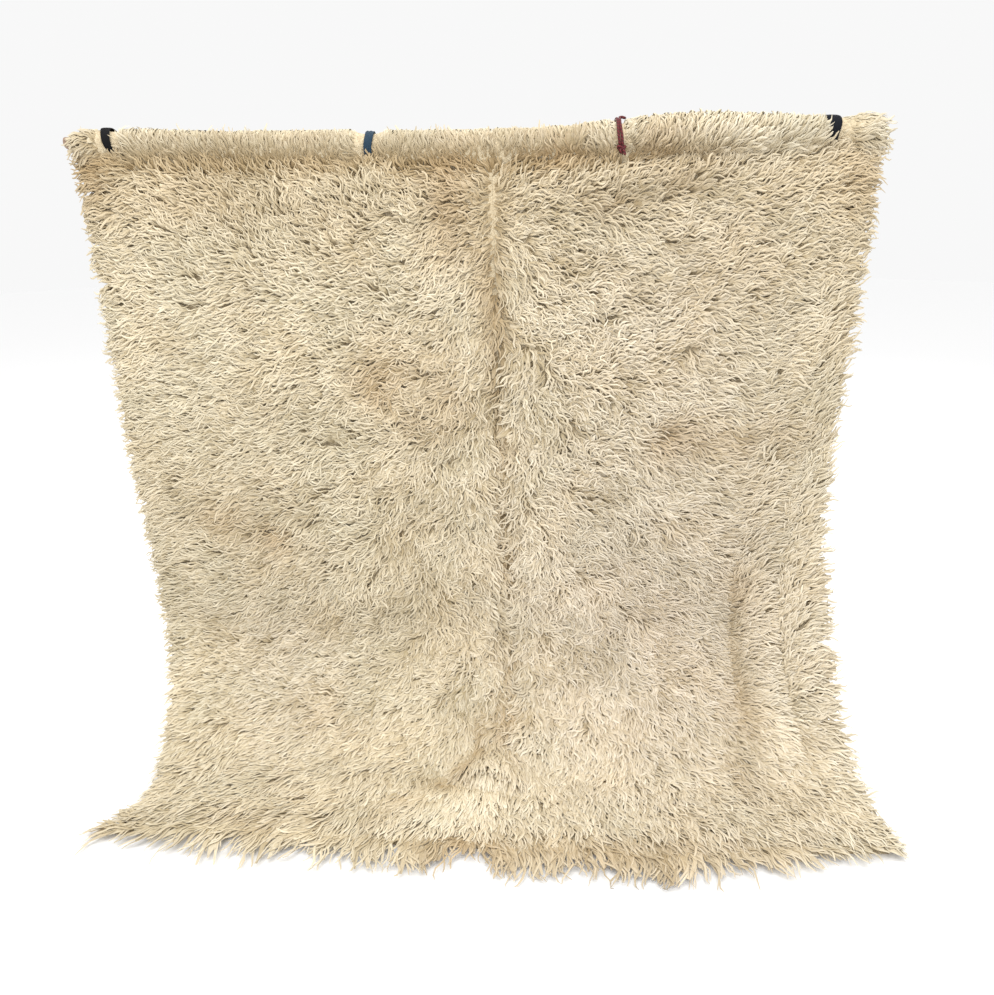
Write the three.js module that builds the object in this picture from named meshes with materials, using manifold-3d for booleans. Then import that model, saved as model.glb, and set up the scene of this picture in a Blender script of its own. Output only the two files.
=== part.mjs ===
// A two-panel long-pile wool rug, hung over a wooden pole by four ties, its foot lying on the floor.
// Millimetres. X runs along the pole, -Y faces the room and +Z is up. The origin is the centre of
// the pole at the middle of its length.
import * as THREE from 'three';
import Module from 'manifold-3d';

// Driving dimensions.
const POLE_RADIUS = 14;
const POLE_LEFT_END = -955;
const POLE_RIGHT_END = 931;
const POLE_SIDES = 24;
const POLE_STATIONS = 14;
const BOW_RISE = 18; // how far the pole's ends stand above its loaded middle
const BOW_SPAN = 940;
const FLOOR_LEVEL = -1580;
const GAP = 0.35; // between pieces that touch
const GROUND = 4; // woven ground under the pile
const PILE = 36; // depth of the hanging pile
const TAIL_PILE = 30;
const SEAM_PILE_LOSS = 0.32; // share of the depth lost in the parting along the seam
const SEAM_PARTING = 34;
const SEAM_GAP = 0.3;
const SIDE_REACH = 34; // how far the pile stands out past the side edges
const CORNER_SPLAY = 14; // further reach of the side pile where the rug lies on the floor
const FRONT_REACH = 72; // how far the pile falls past the front end
// Where the front pile parts or falls short.
const NOTCHES = [
  { name: 'left corner', across: -905, depth: 36, width: 90 },
  { name: 'parting', across: -38, depth: 50, width: 20 },
  { name: 'right corner', across: 905, depth: 14, width: 60 },
];
const COLUMN_STEP = 94;
const FINE_PLACES = [-140, -92, -62, -38, -14, 16, 98]; // closer columns beside the seam

// How the ground hangs at places across the rug. ACROSS is the place on the pole, LEAN the sideways
// drift by the time it reaches the floor, DRAW a further drift by the end of the sweep and SPREAD by
// the woven end, LEAVE the height above the floor where it leaves the plumb line, TOUCH how far
// forward it meets the floor, and END how far forward its woven end lies.
const HANG = [
  { name: 'left edge', across: -905, lean: -5, draw: 95, spread: 35, leave: 360, touch: 430, end: 542 },
  { name: 'left quarter', across: -690, lean: 8, draw: 34, spread: 6, leave: 310, touch: 320, end: 531 },
  { name: 'left middle', across: -320, lean: 26, draw: 12, spread: 8, leave: 340, touch: 335, end: 542 },
  { name: 'seam', across: 57, lean: 56, draw: 16, spread: 18, leave: 360, touch: 345, end: 545 },
  { name: 'right middle', across: 400, lean: 48, draw: 24, spread: 34, leave: 350, touch: 345, end: 552 },
  { name: 'valley', across: 670, lean: 34, draw: 56, spread: 66, leave: 370, touch: 365, end: 532 },
  { name: 'right flank', across: 800, lean: 18, draw: 96, spread: 108, leave: 560, touch: 410, end: 520 },
  { name: 'right edge', across: 905, lean: 7, draw: 98, spread: 112, leave: 830, touch: 462, end: 517 },
];
const SEAM_ACROSS = 57;

// Depth of the pile on top of the pole, which is combed thin in places and stands up in others.
const ROLL_PILE = [
  { across: -905, depth: 17 },
  { across: -800, depth: 8 },
  { across: -640, depth: 3 },
  { across: -480, depth: 8 },
  { across: -340, depth: 15 },
  { across: -80, depth: 9 },
  { across: 190, depth: 13 },
  { across: 330, depth: 29 },
  { across: 560, depth: 35 },
  { across: 640, depth: 29 },
  { across: 760, depth: 18 },
  { across: 905, depth: 17 },
];

// Back face of the ground beside the pole, from the cut tail up to the pole, and down the front.
// FORWARD is towards the room, UP is from the pole's centre, DEPTH scales the pile.
const TAIL = [
  { forward: -8, up: -128, depth: 0.55 },
  { forward: -7, up: -112, depth: 0.9 },
  { forward: -6, up: -86, depth: 1 },
  { forward: -5.5, up: -60, depth: 0.8 },
  { forward: -5.5, up: -38, depth: 0.55 },
];
const NECK = [
  { forward: 5.5, up: -38, depth: 0.54 },
  { forward: 6, up: -62, depth: 0.74 },
  { forward: 8, up: -96, depth: 0.95 },
  { forward: 10, up: -150, depth: 1 },
];
const WRAP = { start: -17, end: 197, steps: 9 }; // degrees round the pole
const PLUMB_FORWARD = 13;
const HANG_ROWS = 13;
const SWEEP_ROWS = 11;
// Rows of the lying part, as shares of the way from where it touches to its woven end.
const LYING = [
  { share: 0.3, depth: 1 },
  { share: 0.62, depth: 0.98 },
  { share: 0.86, depth: 0.7 },
  { share: 1, depth: 0.92 },
];
// Rounded ends of the pile, as shares of its reach and depth.
const NOSE = [
  { reach: 0.4, depth: 0.86 },
  { reach: 0.76, depth: 0.6 },
  { reach: 1, depth: 0.2 },
];
const SIDE = [
  { reach: 0.55, lift: 0.14, depth: 0.9 },
  { reach: 1, lift: 0.38, depth: 0.62 },
];

// Soft ridges and troughs of the ground between two places. ACROSS is the place on the pole and
// DOWN the length of cloth below it.
const FOLDS = [
  {
    name: 'bulge, lower arm',
    from: { across: -150, down: 1850 },
    to: { across: -10, down: 1790 },
    width: 62,
    height: 20,
  },
  {
    name: 'bulge, upper arm',
    from: { across: 20, down: 1760 },
    to: { across: 70, down: 1650 },
    width: 66,
    height: 26,
  },
  {
    name: 'crease, low',
    from: { across: -250, down: 1880 },
    to: { across: -120, down: 1775 },
    width: 44,
    height: -8,
  },
  {
    name: 'crease, middle',
    from: { across: -115, down: 1755 },
    to: { across: -55, down: 1690 },
    width: 44,
    height: -12,
  },
  {
    name: 'crease, high',
    from: { across: -50, down: 1650 },
    to: { across: -35, down: 1560 },
    width: 44,
    height: -10,
  },
  {
    name: 'valley',
    from: { across: 680, down: 1120 },
    to: { across: 705, down: 1600 },
    width: 48,
    height: -12,
  },
  {
    name: 'swell left of the seam',
    from: { across: -420, down: 620 },
    to: { across: -340, down: 1150 },
    width: 150,
    height: 12,
  },
  {
    name: 'swell right of the seam',
    from: { across: 330, down: 420 },
    to: { across: 380, down: 900 },
    width: 130,
    height: 10,
  },
  {
    name: 'pull under the wide strap',
    from: { across: 420, down: 100 },
    to: { across: 560, down: 84 },
    width: 26,
    height: 9,
  },
];
const FOLD_START = 60; // folds begin this far below the pole

// The ties. TOP and BOTTOM are heights from the pole's centre, REACH the half depth of the loop.
const TIES = [
  {
    name: 'tie_black_narrow', across: -838, width: 22, thickness: 2,
    top: 33, bottom: 27, reach: 30, lean: -0.25, round: false,
  },
  {
    name: 'tie_blue', across: -224, width: 20, thickness: 3,
    top: 29, bottom: 27, reach: 30, lean: 0.06, round: false,
  },
  {
    name: 'tie_red', across: 351, width: 12, thickness: 7,
    top: 45, bottom: 28, reach: 32, lean: -0.12, round: true,
  },
  {
    name: 'tie_black_wide', across: 821, width: 30, thickness: 2,
    top: 34, bottom: 27, reach: 31, lean: -0.1, round: false,
  },
];
const LOOP_STEPS = 28;
const WAIST_SPREAD = 22; // the pile recovers its depth this far beside a tie
const KNOT = { forward: 36, up: -16, halfWidth: 11, halfDepth: 8, halfHeight: 9 };
const FREE_END = { length: 17, radius: 3 };

const wasm = await Module();
wasm.setup();

/** Value of one column of a table at a place across the rug, on a smooth line through its rows. */
function tableValue(table, key, across) {
  const last = table.length - 1;
  let i = 0;
  while (i < last - 1 && across > table[i + 1].across) {
    i += 1;
  }
  const here = table[i];
  const next = table[i + 1];
  const t = THREE.MathUtils.clamp((across - here.across) / (next.across - here.across), 0, 1);
  return THREE.MathUtils.lerp(here[key], next[key], t * t * (3 - 2 * t));
}

/** Height of the bowed pole's centre above the centre of its middle. */
function bowHeight(x) {
  return BOW_RISE * (x / BOW_SPAN) ** 2;
}

/** Distance from a point to a stretch between two points. */
function distanceToStretch(point, from, to) {
  const line = new THREE.Line3(from, to);
  const nearest = line.closestPointToPoint(point, true, new THREE.Vector3());
  return nearest.distanceTo(point);
}

/** How far the folds push the ground out at a place on the cloth. */
function foldHeight(across, down) {
  const place = new THREE.Vector3(across, down, 0);
  let height = 0;
  for (const fold of FOLDS) {
    const from = new THREE.Vector3(fold.from.across, fold.from.down, 0);
    const to = new THREE.Vector3(fold.to.across, fold.to.down, 0);
    const share = distanceToStretch(place, from, to) / fold.width;
    height += fold.height * Math.exp(-share * share);
  }
  return height * THREE.MathUtils.smoothstep(down, FOLD_START, FOLD_START + 60);
}

/** Unevenness of the pile, between -1 and 1. */
function ripple(across, down) {
  const broad = Math.sin(across / 53 + 1.3) * Math.sin(down / 67 + across / 310);
  const fine = Math.sin(across / 24 + down / 39);
  return 0.62 * broad + 0.38 * fine;
}

/** Distance from the pole's centre to the inside of a tie's loop, at an angle round the pole. */
function loopRadius(tie, angle) {
  const up = Math.sin(angle) > 0 ? tie.top : tie.bottom;
  const depth = Math.cos(angle) / tie.reach;
  const height = Math.sin(angle) / up;
  return 1 / Math.hypot(depth, height);
}

/** The tie that presses on the pile at a place, or undefined. */
function tieOver(across) {
  return TIES.find((tie) => Math.abs(across - tie.across) < tie.width / 2 + WAIST_SPREAD / 2);
}

/** Back face of the ground at one place across, as rows from the tail to the woven front end. */
function backLine(across) {
  const rows = [];
  const halfStep = THREE.MathUtils.degToRad((WRAP.end - WRAP.start) / WRAP.steps / 2);
  const reach = (POLE_RADIUS + GAP) / Math.cos(halfStep); // the flats of the wrap clear the pole
  const leave = FLOOR_LEVEL + tableValue(HANG, 'leave', across);
  const touch = tableValue(HANG, 'touch', across);
  const end = tableValue(HANG, 'end', across);
  const roll = tableValue(ROLL_PILE, 'depth', across);
  const tie = tieOver(across);
  for (const row of TAIL) {
    rows.push({ y: -row.forward, z: row.up, depth: TAIL_PILE * row.depth });
  }
  for (let i = 0; i <= WRAP.steps; i += 1) {
    const angle = THREE.MathUtils.degToRad(THREE.MathUtils.lerp(WRAP.start, WRAP.end, i / WRAP.steps));
    const flank = Math.abs(Math.cos(angle)) ** 1.5;
    const loose = THREE.MathUtils.lerp(roll, TAIL_PILE, flank);
    const pressed = tie ? loopRadius(tie, angle) - reach - GROUND - GAP : loose;
    rows.push({ y: reach * Math.cos(angle), z: reach * Math.sin(angle), depth: Math.min(loose, pressed) });
  }
  for (const row of NECK) {
    rows.push({ y: -row.forward, z: row.up, depth: PILE * row.depth });
  }
  const neckEnd = NECK[NECK.length - 1];
  for (let i = 1; i <= HANG_ROWS; i += 1) {
    const t = i / HANG_ROWS;
    const y = -THREE.MathUtils.lerp(neckEnd.forward, PLUMB_FORWARD, Math.min(1, 3 * t));
    rows.push({ y, z: THREE.MathUtils.lerp(neckEnd.up, leave, t), depth: PILE, free: t });
  }
  const drop = leave - FLOOR_LEVEL;
  const sweep = new THREE.CubicBezierCurve(
    new THREE.Vector2(-PLUMB_FORWARD, leave),
    new THREE.Vector2(-PLUMB_FORWARD, leave - 0.5 * drop),
    new THREE.Vector2(-THREE.MathUtils.lerp(PLUMB_FORWARD, touch, 0.48), FLOOR_LEVEL),
    new THREE.Vector2(-touch, FLOOR_LEVEL),
  );
  for (let i = 1; i <= SWEEP_ROWS; i += 1) {
    const point = sweep.getPoint(i / SWEEP_ROWS);
    rows.push({ y: point.x, z: point.y, depth: PILE, free: 1, sweep: i / SWEEP_ROWS });
  }
  for (const row of LYING) {
    const y = -THREE.MathUtils.lerp(touch, end, row.share);
    rows.push({ y, z: FLOOR_LEVEL, depth: PILE * row.depth, free: 1, sweep: 1, lying: 1, share: row.share });
  }
  return rows;
}

/** Adds to each row its length of cloth below the top of the pole and the way its pile points. */
function measureRows(rows) {
  const top = TAIL.length + Math.round(WRAP.steps / 2);
  let length = 0;
  rows.forEach((row, i) => {
    const before = rows[Math.max(0, i - 1)];
    const after = rows[Math.min(rows.length - 1, i + 1)];
    length += Math.hypot(row.y - before.y, row.z - before.z);
    row.length = length;
    const run = Math.hypot(after.y - before.y, after.z - before.z);
    row.outY = (after.z - before.z) / run;
    row.outZ = -(after.y - before.y) / run;
  });
  const start = rows[top].length;
  for (const row of rows) {
    row.down = row.length - start;
  }
}

/** The rounded front of the pile, as further rows on the floor past the woven end. */
function noseRows(across, last) {
  let reach = FRONT_REACH + 7 * ripple(across, 300);
  for (const notch of NOTCHES) {
    reach -= notch.depth * Math.exp(-(((across - notch.across) / notch.width) ** 2));
  }
  return NOSE.map((row) => ({
    ...last,
    y: last.y - reach * row.reach,
    down: last.down + reach * row.reach,
    depth: last.depth * row.depth,
  }));
}

/** One column of the slab: its back points and its pile points, from tail to front. */
function slabColumn(across, side, seamShift) {
  const rows = backLine(across);
  measureRows(rows);
  rows.push(...noseRows(across, rows[rows.length - 1]));
  const lean = tableValue(HANG, 'lean', across);
  const draw = tableValue(HANG, 'draw', across);
  const spread = tableValue(HANG, 'spread', across);
  const seamLoss = 1 - SEAM_PILE_LOSS * Math.exp(-(((across - SEAM_ACROSS) / SEAM_PARTING) ** 2));
  const lengthDown = rows[rows.length - 1].down;
  return rows.map((row) => {
    const free = row.free ?? 0;
    const onFloor = row.lying ?? 0;
    const bow = bowHeight(across) * (1 - free);
    const fold = foldHeight(across, row.down) * (1 - 0.6 * onFloor);
    const uneven = free > 0 || row.depth > TAIL_PILE ? 3.5 * ripple(across, row.down) : 0;
    const depth = GROUND + (row.depth + uneven) * (row.down > 40 ? seamLoss : 1);
    const swept = THREE.MathUtils.lerp(draw * (row.sweep ?? 0) ** 1.3, spread, onFloor * (row.share ?? 1));
    const drift = lean * Math.max(0, row.down / lengthDown) + swept;
    const past = side.reach * (SIDE_REACH + CORNER_SPLAY * onFloor + 6 * ripple(row.down * 1.7, across));
    const x = across + drift + seamShift + side.way * past;
    const lift = (1 - onFloor) * side.lift * depth;
    const inner = Math.max(0, fold * (1 - onFloor)) + Math.min(0, fold) * (1 - (row.sweep ?? 0)) + lift;
    const outer = Math.max(inner + 6, fold + depth * side.depth);
    return {
      inner: new THREE.Vector3(x, row.y + row.outY * inner, row.z + row.outZ * inner + bow),
      outer: new THREE.Vector3(x, row.y + row.outY * outer, row.z + row.outZ * outer + bow),
    };
  });
}

/** Places of the columns between two edges: evenly spaced, with closer ones beside each tie. */
function columnPlaces(from, to) {
  const count = Math.ceil((to - from) / COLUMN_STEP);
  const close = FINE_PLACES.filter((x) => x > from && x < to);
  for (const tie of TIES) {
    const edge = tie.width / 2 + 2;
    const middle = tie.across;
    if (middle > from && middle < to) {
      close.push(middle - edge - WAIST_SPREAD, middle - edge, middle + edge, middle + edge + WAIST_SPREAD);
    }
  }
  const even = Array.from({ length: count + 1 }, (_, i) => THREE.MathUtils.lerp(from, to, i / count));
  const kept = even.filter((x) => x === from || x === to || close.every((c) => Math.abs(c - x) > 26));
  return [...kept, ...close].sort((a, b) => a - b);
}

/** A closed grid mesh of two faces, the pile face and the back face, joined round their edges. */
function slabGeometry(columns) {
  const rowCount = columns[0].length;
  const positions = [];
  for (const face of ['outer', 'inner']) {
    for (const column of columns) {
      for (const row of column) {
        positions.push(row[face].x, row[face].y, row[face].z);
      }
    }
  }
  const back = columns.length * rowCount;
  const index = [];
  const quad = (a, b, c, d) => index.push(a, b, c, a, c, d);
  for (let c = 0; c < columns.length - 1; c += 1) {
    for (let r = 0; r < rowCount - 1; r += 1) {
      const a = c * rowCount + r;
      const b = a + rowCount;
      quad(a, a + 1, b + 1, b);
      quad(back + a, back + b, back + b + 1, back + a + 1);
    }
    const tail = c * rowCount;
    const front = tail + rowCount - 1;
    quad(tail, tail + rowCount, back + tail + rowCount, back + tail);
    quad(front, back + front, back + front + rowCount, front + rowCount);
  }
  const far = (columns.length - 1) * rowCount;
  for (let r = 0; r < rowCount - 1; r += 1) {
    quad(r, back + r, back + r + 1, r + 1);
    quad(far + r, far + r + 1, back + far + r + 1, back + far + r);
  }
  return indexedGeometry(positions, index);
}

/** An indexed geometry with its normals. */
function indexedGeometry(positions, index) {
  const geometry = new THREE.BufferGeometry();
  geometry.setAttribute('position', new THREE.Float32BufferAttribute(positions, 3));
  geometry.setIndex(index);
  geometry.computeVertexNormals();
  return geometry;
}

/** The panel left (-1) or right (+1) of the seam, pile and ground together. */
function panelGeometry(way) {
  const edge = way < 0 ? HANG[0].across : HANG[HANG.length - 1].across;
  const plain = { way, reach: 0, lift: 0, depth: 1 };
  const shift = (way * SEAM_GAP) / 2;
  const places = columnPlaces(Math.min(edge, SEAM_ACROSS), Math.max(edge, SEAM_ACROSS));
  const columns = places.map((across) => slabColumn(across, plain, shift));
  const rim = SIDE.map((side) => slabColumn(edge, { way, ...side }, shift));
  return slabGeometry(way < 0 ? [...rim.reverse(), ...columns] : [...columns, ...rim]);
}

/** The pole: round, bowed under the load, with upright end faces. */
function poleGeometry() {
  const positions = [];
  const index = [];
  for (let s = 0; s <= POLE_STATIONS; s += 1) {
    const x = THREE.MathUtils.lerp(POLE_LEFT_END, POLE_RIGHT_END, s / POLE_STATIONS);
    for (let k = 0; k < POLE_SIDES; k += 1) {
      const angle = (2 * Math.PI * k) / POLE_SIDES;
      positions.push(x, POLE_RADIUS * Math.cos(angle), POLE_RADIUS * Math.sin(angle) + bowHeight(x));
    }
  }
  for (let s = 0; s < POLE_STATIONS; s += 1) {
    for (let k = 0; k < POLE_SIDES; k += 1) {
      const a = s * POLE_SIDES + k;
      const b = s * POLE_SIDES + ((k + 1) % POLE_SIDES);
      index.push(a, b, a + POLE_SIDES, b, b + POLE_SIDES, a + POLE_SIDES);
    }
  }
  const last = POLE_STATIONS * POLE_SIDES;
  for (let k = 1; k < POLE_SIDES - 1; k += 1) {
    index.push(0, k + 1, k);
    index.push(last, last + k, last + k + 1);
  }
  return indexedGeometry(positions, index);
}

/** Section of a tie across its loop: OUT is away from the pole, ALONG is along the pole. */
function tieSection(tie, grow) {
  if (!tie.round) {
    const half = tie.width / 2 + grow;
    return [
      { out: -grow, along: -half },
      { out: tie.thickness + grow, along: -half },
      { out: tie.thickness + grow, along: half },
      { out: -grow, along: half },
    ];
  }
  const sides = 10;
  return Array.from({ length: sides }, (_, k) => {
    const angle = (2 * Math.PI * k) / sides;
    const out = tie.thickness / 2 - (tie.thickness / 2 + grow) * Math.cos(angle);
    return { out, along: -(tie.width / 2 + grow) * Math.sin(angle) };
  });
}

/** The closed loop of a tie round the pole and the rug, its section grown by GROW. */
function loopGeometry(tie, grow) {
  const section = tieSection(tie, grow);
  const positions = [];
  const index = [];
  for (let i = 0; i < LOOP_STEPS; i += 1) {
    const angle = (2 * Math.PI * i) / LOOP_STEPS;
    for (const corner of section) {
      const radius = loopRadius(tie, angle) + corner.out;
      const up = radius * Math.sin(angle);
      const x = tie.across + corner.along + tie.lean * up;
      positions.push(x, radius * Math.cos(angle), up + bowHeight(tie.across));
    }
  }
  const count = section.length;
  for (let i = 0; i < LOOP_STEPS; i += 1) {
    for (let k = 0; k < count; k += 1) {
      const a = i * count + k;
      const b = i * count + ((k + 1) % count);
      const c = ((i + 1) % LOOP_STEPS) * count;
      index.push(a, c + k, b, b, c + k, c + ((k + 1) % count));
    }
  }
  return indexedGeometry(positions, index);
}

/** The red cord's knot, on the front of its loop. */
function knotGeometry(tie, grow) {
  const geometry = new THREE.SphereGeometry(1, 14, 9);
  geometry.scale(KNOT.halfWidth + grow, KNOT.halfDepth + grow, KNOT.halfHeight + grow);
  geometry.translate(tie.across + tie.lean * KNOT.up, -KNOT.forward, KNOT.up + bowHeight(tie.across));
  return geometry;
}

/** The short free end of the red cord, lying along the top of the roll. */
function freeEndGeometry(tie, grow) {
  const geometry = new THREE.CylinderGeometry(
    FREE_END.radius + grow, FREE_END.radius + grow, FREE_END.length + grow, 10);
  geometry.rotateZ(Math.PI / 2);
  const x = tie.across + tie.lean * tie.top + tie.width / 2 + FREE_END.length / 2 - 5;
  geometry.translate(x, -2, tie.top + tie.thickness / 2 + bowHeight(tie.across));
  return geometry;
}

/** A solid of a closed geometry, its shared corners merged. */
function toSolid(geometry) {
  const source = geometry.index ? geometry.toNonIndexed() : geometry;
  const position = source.attributes.position;
  const found = new Map();
  const vertProperties = [];
  const corners = [];
  for (let i = 0; i < position.count; i += 1) {
    const place = [position.getX(i), position.getY(i), position.getZ(i)];
    const key = place.map((value) => Math.round(value * 1e4)).join(' ');
    if (!found.has(key)) {
      found.set(key, found.size);
      vertProperties.push(...place);
    }
    corners.push(found.get(key));
  }
  const triVerts = [];
  for (let i = 0; i < corners.length; i += 3) {
    const [a, b, c] = corners.slice(i, i + 3);
    if (a !== b && b !== c && c !== a) {
      triVerts.push(a, b, c);
    }
  }
  const mesh = new wasm.Mesh({
    numProp: 3,
    vertProperties: new Float32Array(vertProperties),
    triVerts: new Uint32Array(triVerts),
  });
  return new wasm.Manifold(mesh);
}

/** The geometry of a solid. */
function fromSolid(solid) {
  const { vertProperties, triVerts } = solid.getMesh();
  return indexedGeometry(Array.from(vertProperties), Array.from(triVerts));
}

/** One tie as a solid, grown by GROW on every side. */
function tieSolid(tie, grow) {
  const loop = toSolid(loopGeometry(tie, grow));
  if (!tie.round) {
    return loop;
  }
  return loop.add(toSolid(knotGeometry(tie, grow))).add(toSolid(freeEndGeometry(tie, grow)));
}

/** A panel with the slots that the ties pass through. */
function cutPanel(way) {
  let solid = toSolid(panelGeometry(way));
  for (const tie of TIES) {
    if (Math.sign(tie.across - SEAM_ACROSS) === way) {
      solid = solid.subtract(tieSolid(tie, GAP));
    }
  }
  return fromSolid(solid);
}

const wool = new THREE.MeshStandardMaterial({ color: 0xcdbd98, roughness: 0.95, metalness: 0 });
const wood = new THREE.MeshStandardMaterial({ color: 0x9b8170, roughness: 0.7, metalness: 0 });
const blackWebbing = new THREE.MeshStandardMaterial({ color: 0x101114, roughness: 0.6, metalness: 0 });
const blueCloth = new THREE.MeshStandardMaterial({ color: 0x3c4f5c, roughness: 0.85, metalness: 0 });
const redCord = new THREE.MeshStandardMaterial({ color: 0x6a1018, roughness: 0.75, metalness: 0 });

/** Adds a named mesh to the rug. */
function addPiece(group, name, geometry, material) {
  const mesh = new THREE.Mesh(geometry, material);
  mesh.name = name;
  group.add(mesh);
}

const rug = new THREE.Group();
addPiece(rug, 'pole', poleGeometry(), wood);
addPiece(rug, 'panel_left', cutPanel(-1), wool);
addPiece(rug, 'panel_right', cutPanel(1), wool);
const tieMaterials = [blackWebbing, blueCloth, redCord, blackWebbing];
TIES.forEach((tie, i) => addPiece(rug, tie.name, fromSolid(tieSolid(tie, 0)), tieMaterials[i]));

export default rug;
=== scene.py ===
"""Dresses the flokati rug on its hanging pole: woven ground, long wool locks, four ties and the pole.

Metres. X runs along the pole, -Y faces the room and +Z is up. The origin is the centre of the
pole at the middle of its length. Places on the cloth are given as ACROSS, along the pole, and
DOWN, the length of cloth below the top of the pole.
"""

import logging
import math
from dataclasses import dataclass, field
from enum import Enum
from typing import Sequence

import bpy
import numpy as np
from bpy.types import Material, Node, NodeSocket, NodeTree, Object
from mathutils import Matrix, Vector

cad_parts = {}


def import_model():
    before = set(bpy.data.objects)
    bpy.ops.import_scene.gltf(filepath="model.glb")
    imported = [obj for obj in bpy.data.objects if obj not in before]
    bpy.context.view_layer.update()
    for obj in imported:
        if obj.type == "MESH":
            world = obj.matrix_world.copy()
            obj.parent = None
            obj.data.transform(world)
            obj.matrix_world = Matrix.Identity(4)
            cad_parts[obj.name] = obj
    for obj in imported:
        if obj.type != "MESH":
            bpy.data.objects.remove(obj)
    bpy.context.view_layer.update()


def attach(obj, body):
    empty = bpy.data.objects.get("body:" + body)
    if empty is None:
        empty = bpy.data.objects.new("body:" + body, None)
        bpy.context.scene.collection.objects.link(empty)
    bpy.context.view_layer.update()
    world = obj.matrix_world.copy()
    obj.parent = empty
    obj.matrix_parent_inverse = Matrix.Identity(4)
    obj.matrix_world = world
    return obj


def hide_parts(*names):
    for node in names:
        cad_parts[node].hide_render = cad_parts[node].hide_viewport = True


LOG = logging.getLogger("flokati")
ROOT_BODY = "root"
TURN = 2 * math.pi
Array = np.ndarray


class Slot(Enum):
    """Material slots of the record."""

    WOOL = "wool_pile"
    WOOD = "pole_wood"
    WEBBING = "black_webbing"
    BLUE = "blue_cloth"
    RED = "red_cord"


# ---- Small mathematics ----


def smooth(share: float) -> float:
    """Ease a share from 0 to 1, flat at both ends."""
    t = min(max(share, 0.0), 1.0)
    return t * t * (3 - 2 * t)


def mix(a: float, b: float, share: float) -> float:
    """Value between two others."""
    return a + (b - a) * share


def bell(distance: float, width: float) -> float:
    """Bell curve that is 1 at no distance."""
    return math.exp(-((distance / width) ** 2))


def between(rows: Sequence, name: str, across: float) -> float:
    """Read one column of a table at a place across the rug.

    Args:
        rows: Table rows with an ``across`` field, in order.
        name: The column.
        across: The place.

    Returns:
        The value on a smooth line through the rows.
    """
    last = len(rows) - 1
    i = 0
    while i < last - 1 and across > rows[i + 1].across:
        i += 1
    here, after = rows[i], rows[i + 1]
    share = smooth((across - here.across) / (after.across - here.across))
    return mix(getattr(here, name), getattr(after, name), share)


def rows_of(kind: type, *rows: tuple) -> tuple:
    """Make objects of one kind from rows of their values."""
    return tuple(kind(*row) for row in rows)


def unit(vectors: Array) -> Array:
    """Vectors of length one along the last axis."""
    length = np.linalg.norm(vectors, axis=-1, keepdims=True)
    return vectors / np.maximum(length, 1e-9)


# ---- How the rug hangs ----


@dataclass(frozen=True)
class HangPlace:
    """How the ground hangs at one place across the rug."""

    across: float
    lean: float  # sideways drift by the floor
    draw: float  # further drift by the end of the sweep
    spread: float  # further drift by the woven end
    leave: float  # height above the floor where the cloth leaves the plumb line
    touch: float  # how far forward it meets the floor
    end: float  # how far forward its woven end lies


HANG = rows_of(
    HangPlace,
    (-0.905, -0.005, 0.095, 0.035, 0.36, 0.43, 0.542),
    (-0.69, 0.008, 0.034, 0.006, 0.31, 0.32, 0.531),
    (-0.32, 0.026, 0.012, 0.008, 0.34, 0.335, 0.542),
    (0.057, 0.056, 0.016, 0.018, 0.36, 0.345, 0.545),
    (0.4, 0.048, 0.024, 0.034, 0.35, 0.345, 0.552),
    (0.67, 0.034, 0.056, 0.066, 0.37, 0.365, 0.532),
    (0.8, 0.018, 0.096, 0.108, 0.56, 0.41, 0.52),
    (0.905, 0.007, 0.098, 0.112, 0.83, 0.462, 0.517),
)
SEAM_ACROSS = 0.057
LEFT_EDGE = HANG[0].across
RIGHT_EDGE = HANG[-1].across


@dataclass(frozen=True)
class RollPlace:
    """Depth of the pile on top of the pole at one place."""

    across: float
    depth: float


ROLL_PILE = rows_of(
    RollPlace,
    (-0.905, 0.017),
    (-0.8, 0.008),
    (-0.64, 0.003),
    (-0.48, 0.008),
    (-0.34, 0.015),
    (-0.08, 0.009),
    (0.19, 0.013),
    (0.33, 0.029),
    (0.56, 0.035),
    (0.64, 0.029),
    (0.76, 0.018),
    (0.905, 0.017),
)


@dataclass(frozen=True)
class NearRow:
    """Back of the ground beside the pole, with the share of the pile's depth there."""

    forward: float
    up: float
    depth: float


TAIL = rows_of(
    NearRow,
    (-0.008, -0.128, 0.55),
    (-0.007, -0.112, 0.9),
    (-0.006, -0.086, 1.0),
    (-0.0055, -0.06, 0.8),
    (-0.0055, -0.038, 0.55),
)
NECK = rows_of(
    NearRow,
    (0.0055, -0.038, 0.54),
    (0.006, -0.062, 0.74),
    (0.008, -0.096, 0.95),
    (0.01, -0.15, 1.0),
)


@dataclass(frozen=True)
class Fold:
    """A soft ridge or, with a negative height, a trough between two places on the cloth."""

    start: tuple[float, float]
    end: tuple[float, float]
    width: float
    height: float

    def push(self, across: float, down: float) -> float:
        """Find how far the fold pushes the cloth out.

        Args:
            across: Place along the pole.
            down: Length of cloth below its top.

        Returns:
            The outward push.
        """
        ax, ad = self.start
        bx, bd = self.end
        run = (bx - ax) ** 2 + (bd - ad) ** 2
        share = ((across - ax) * (bx - ax) + (down - ad) * (bd - ad)) / run
        share = min(max(share, 0.0), 1.0)
        distance = math.hypot(across - mix(ax, bx, share), down - mix(ad, bd, share))
        return self.height * bell(distance, self.width)


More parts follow.
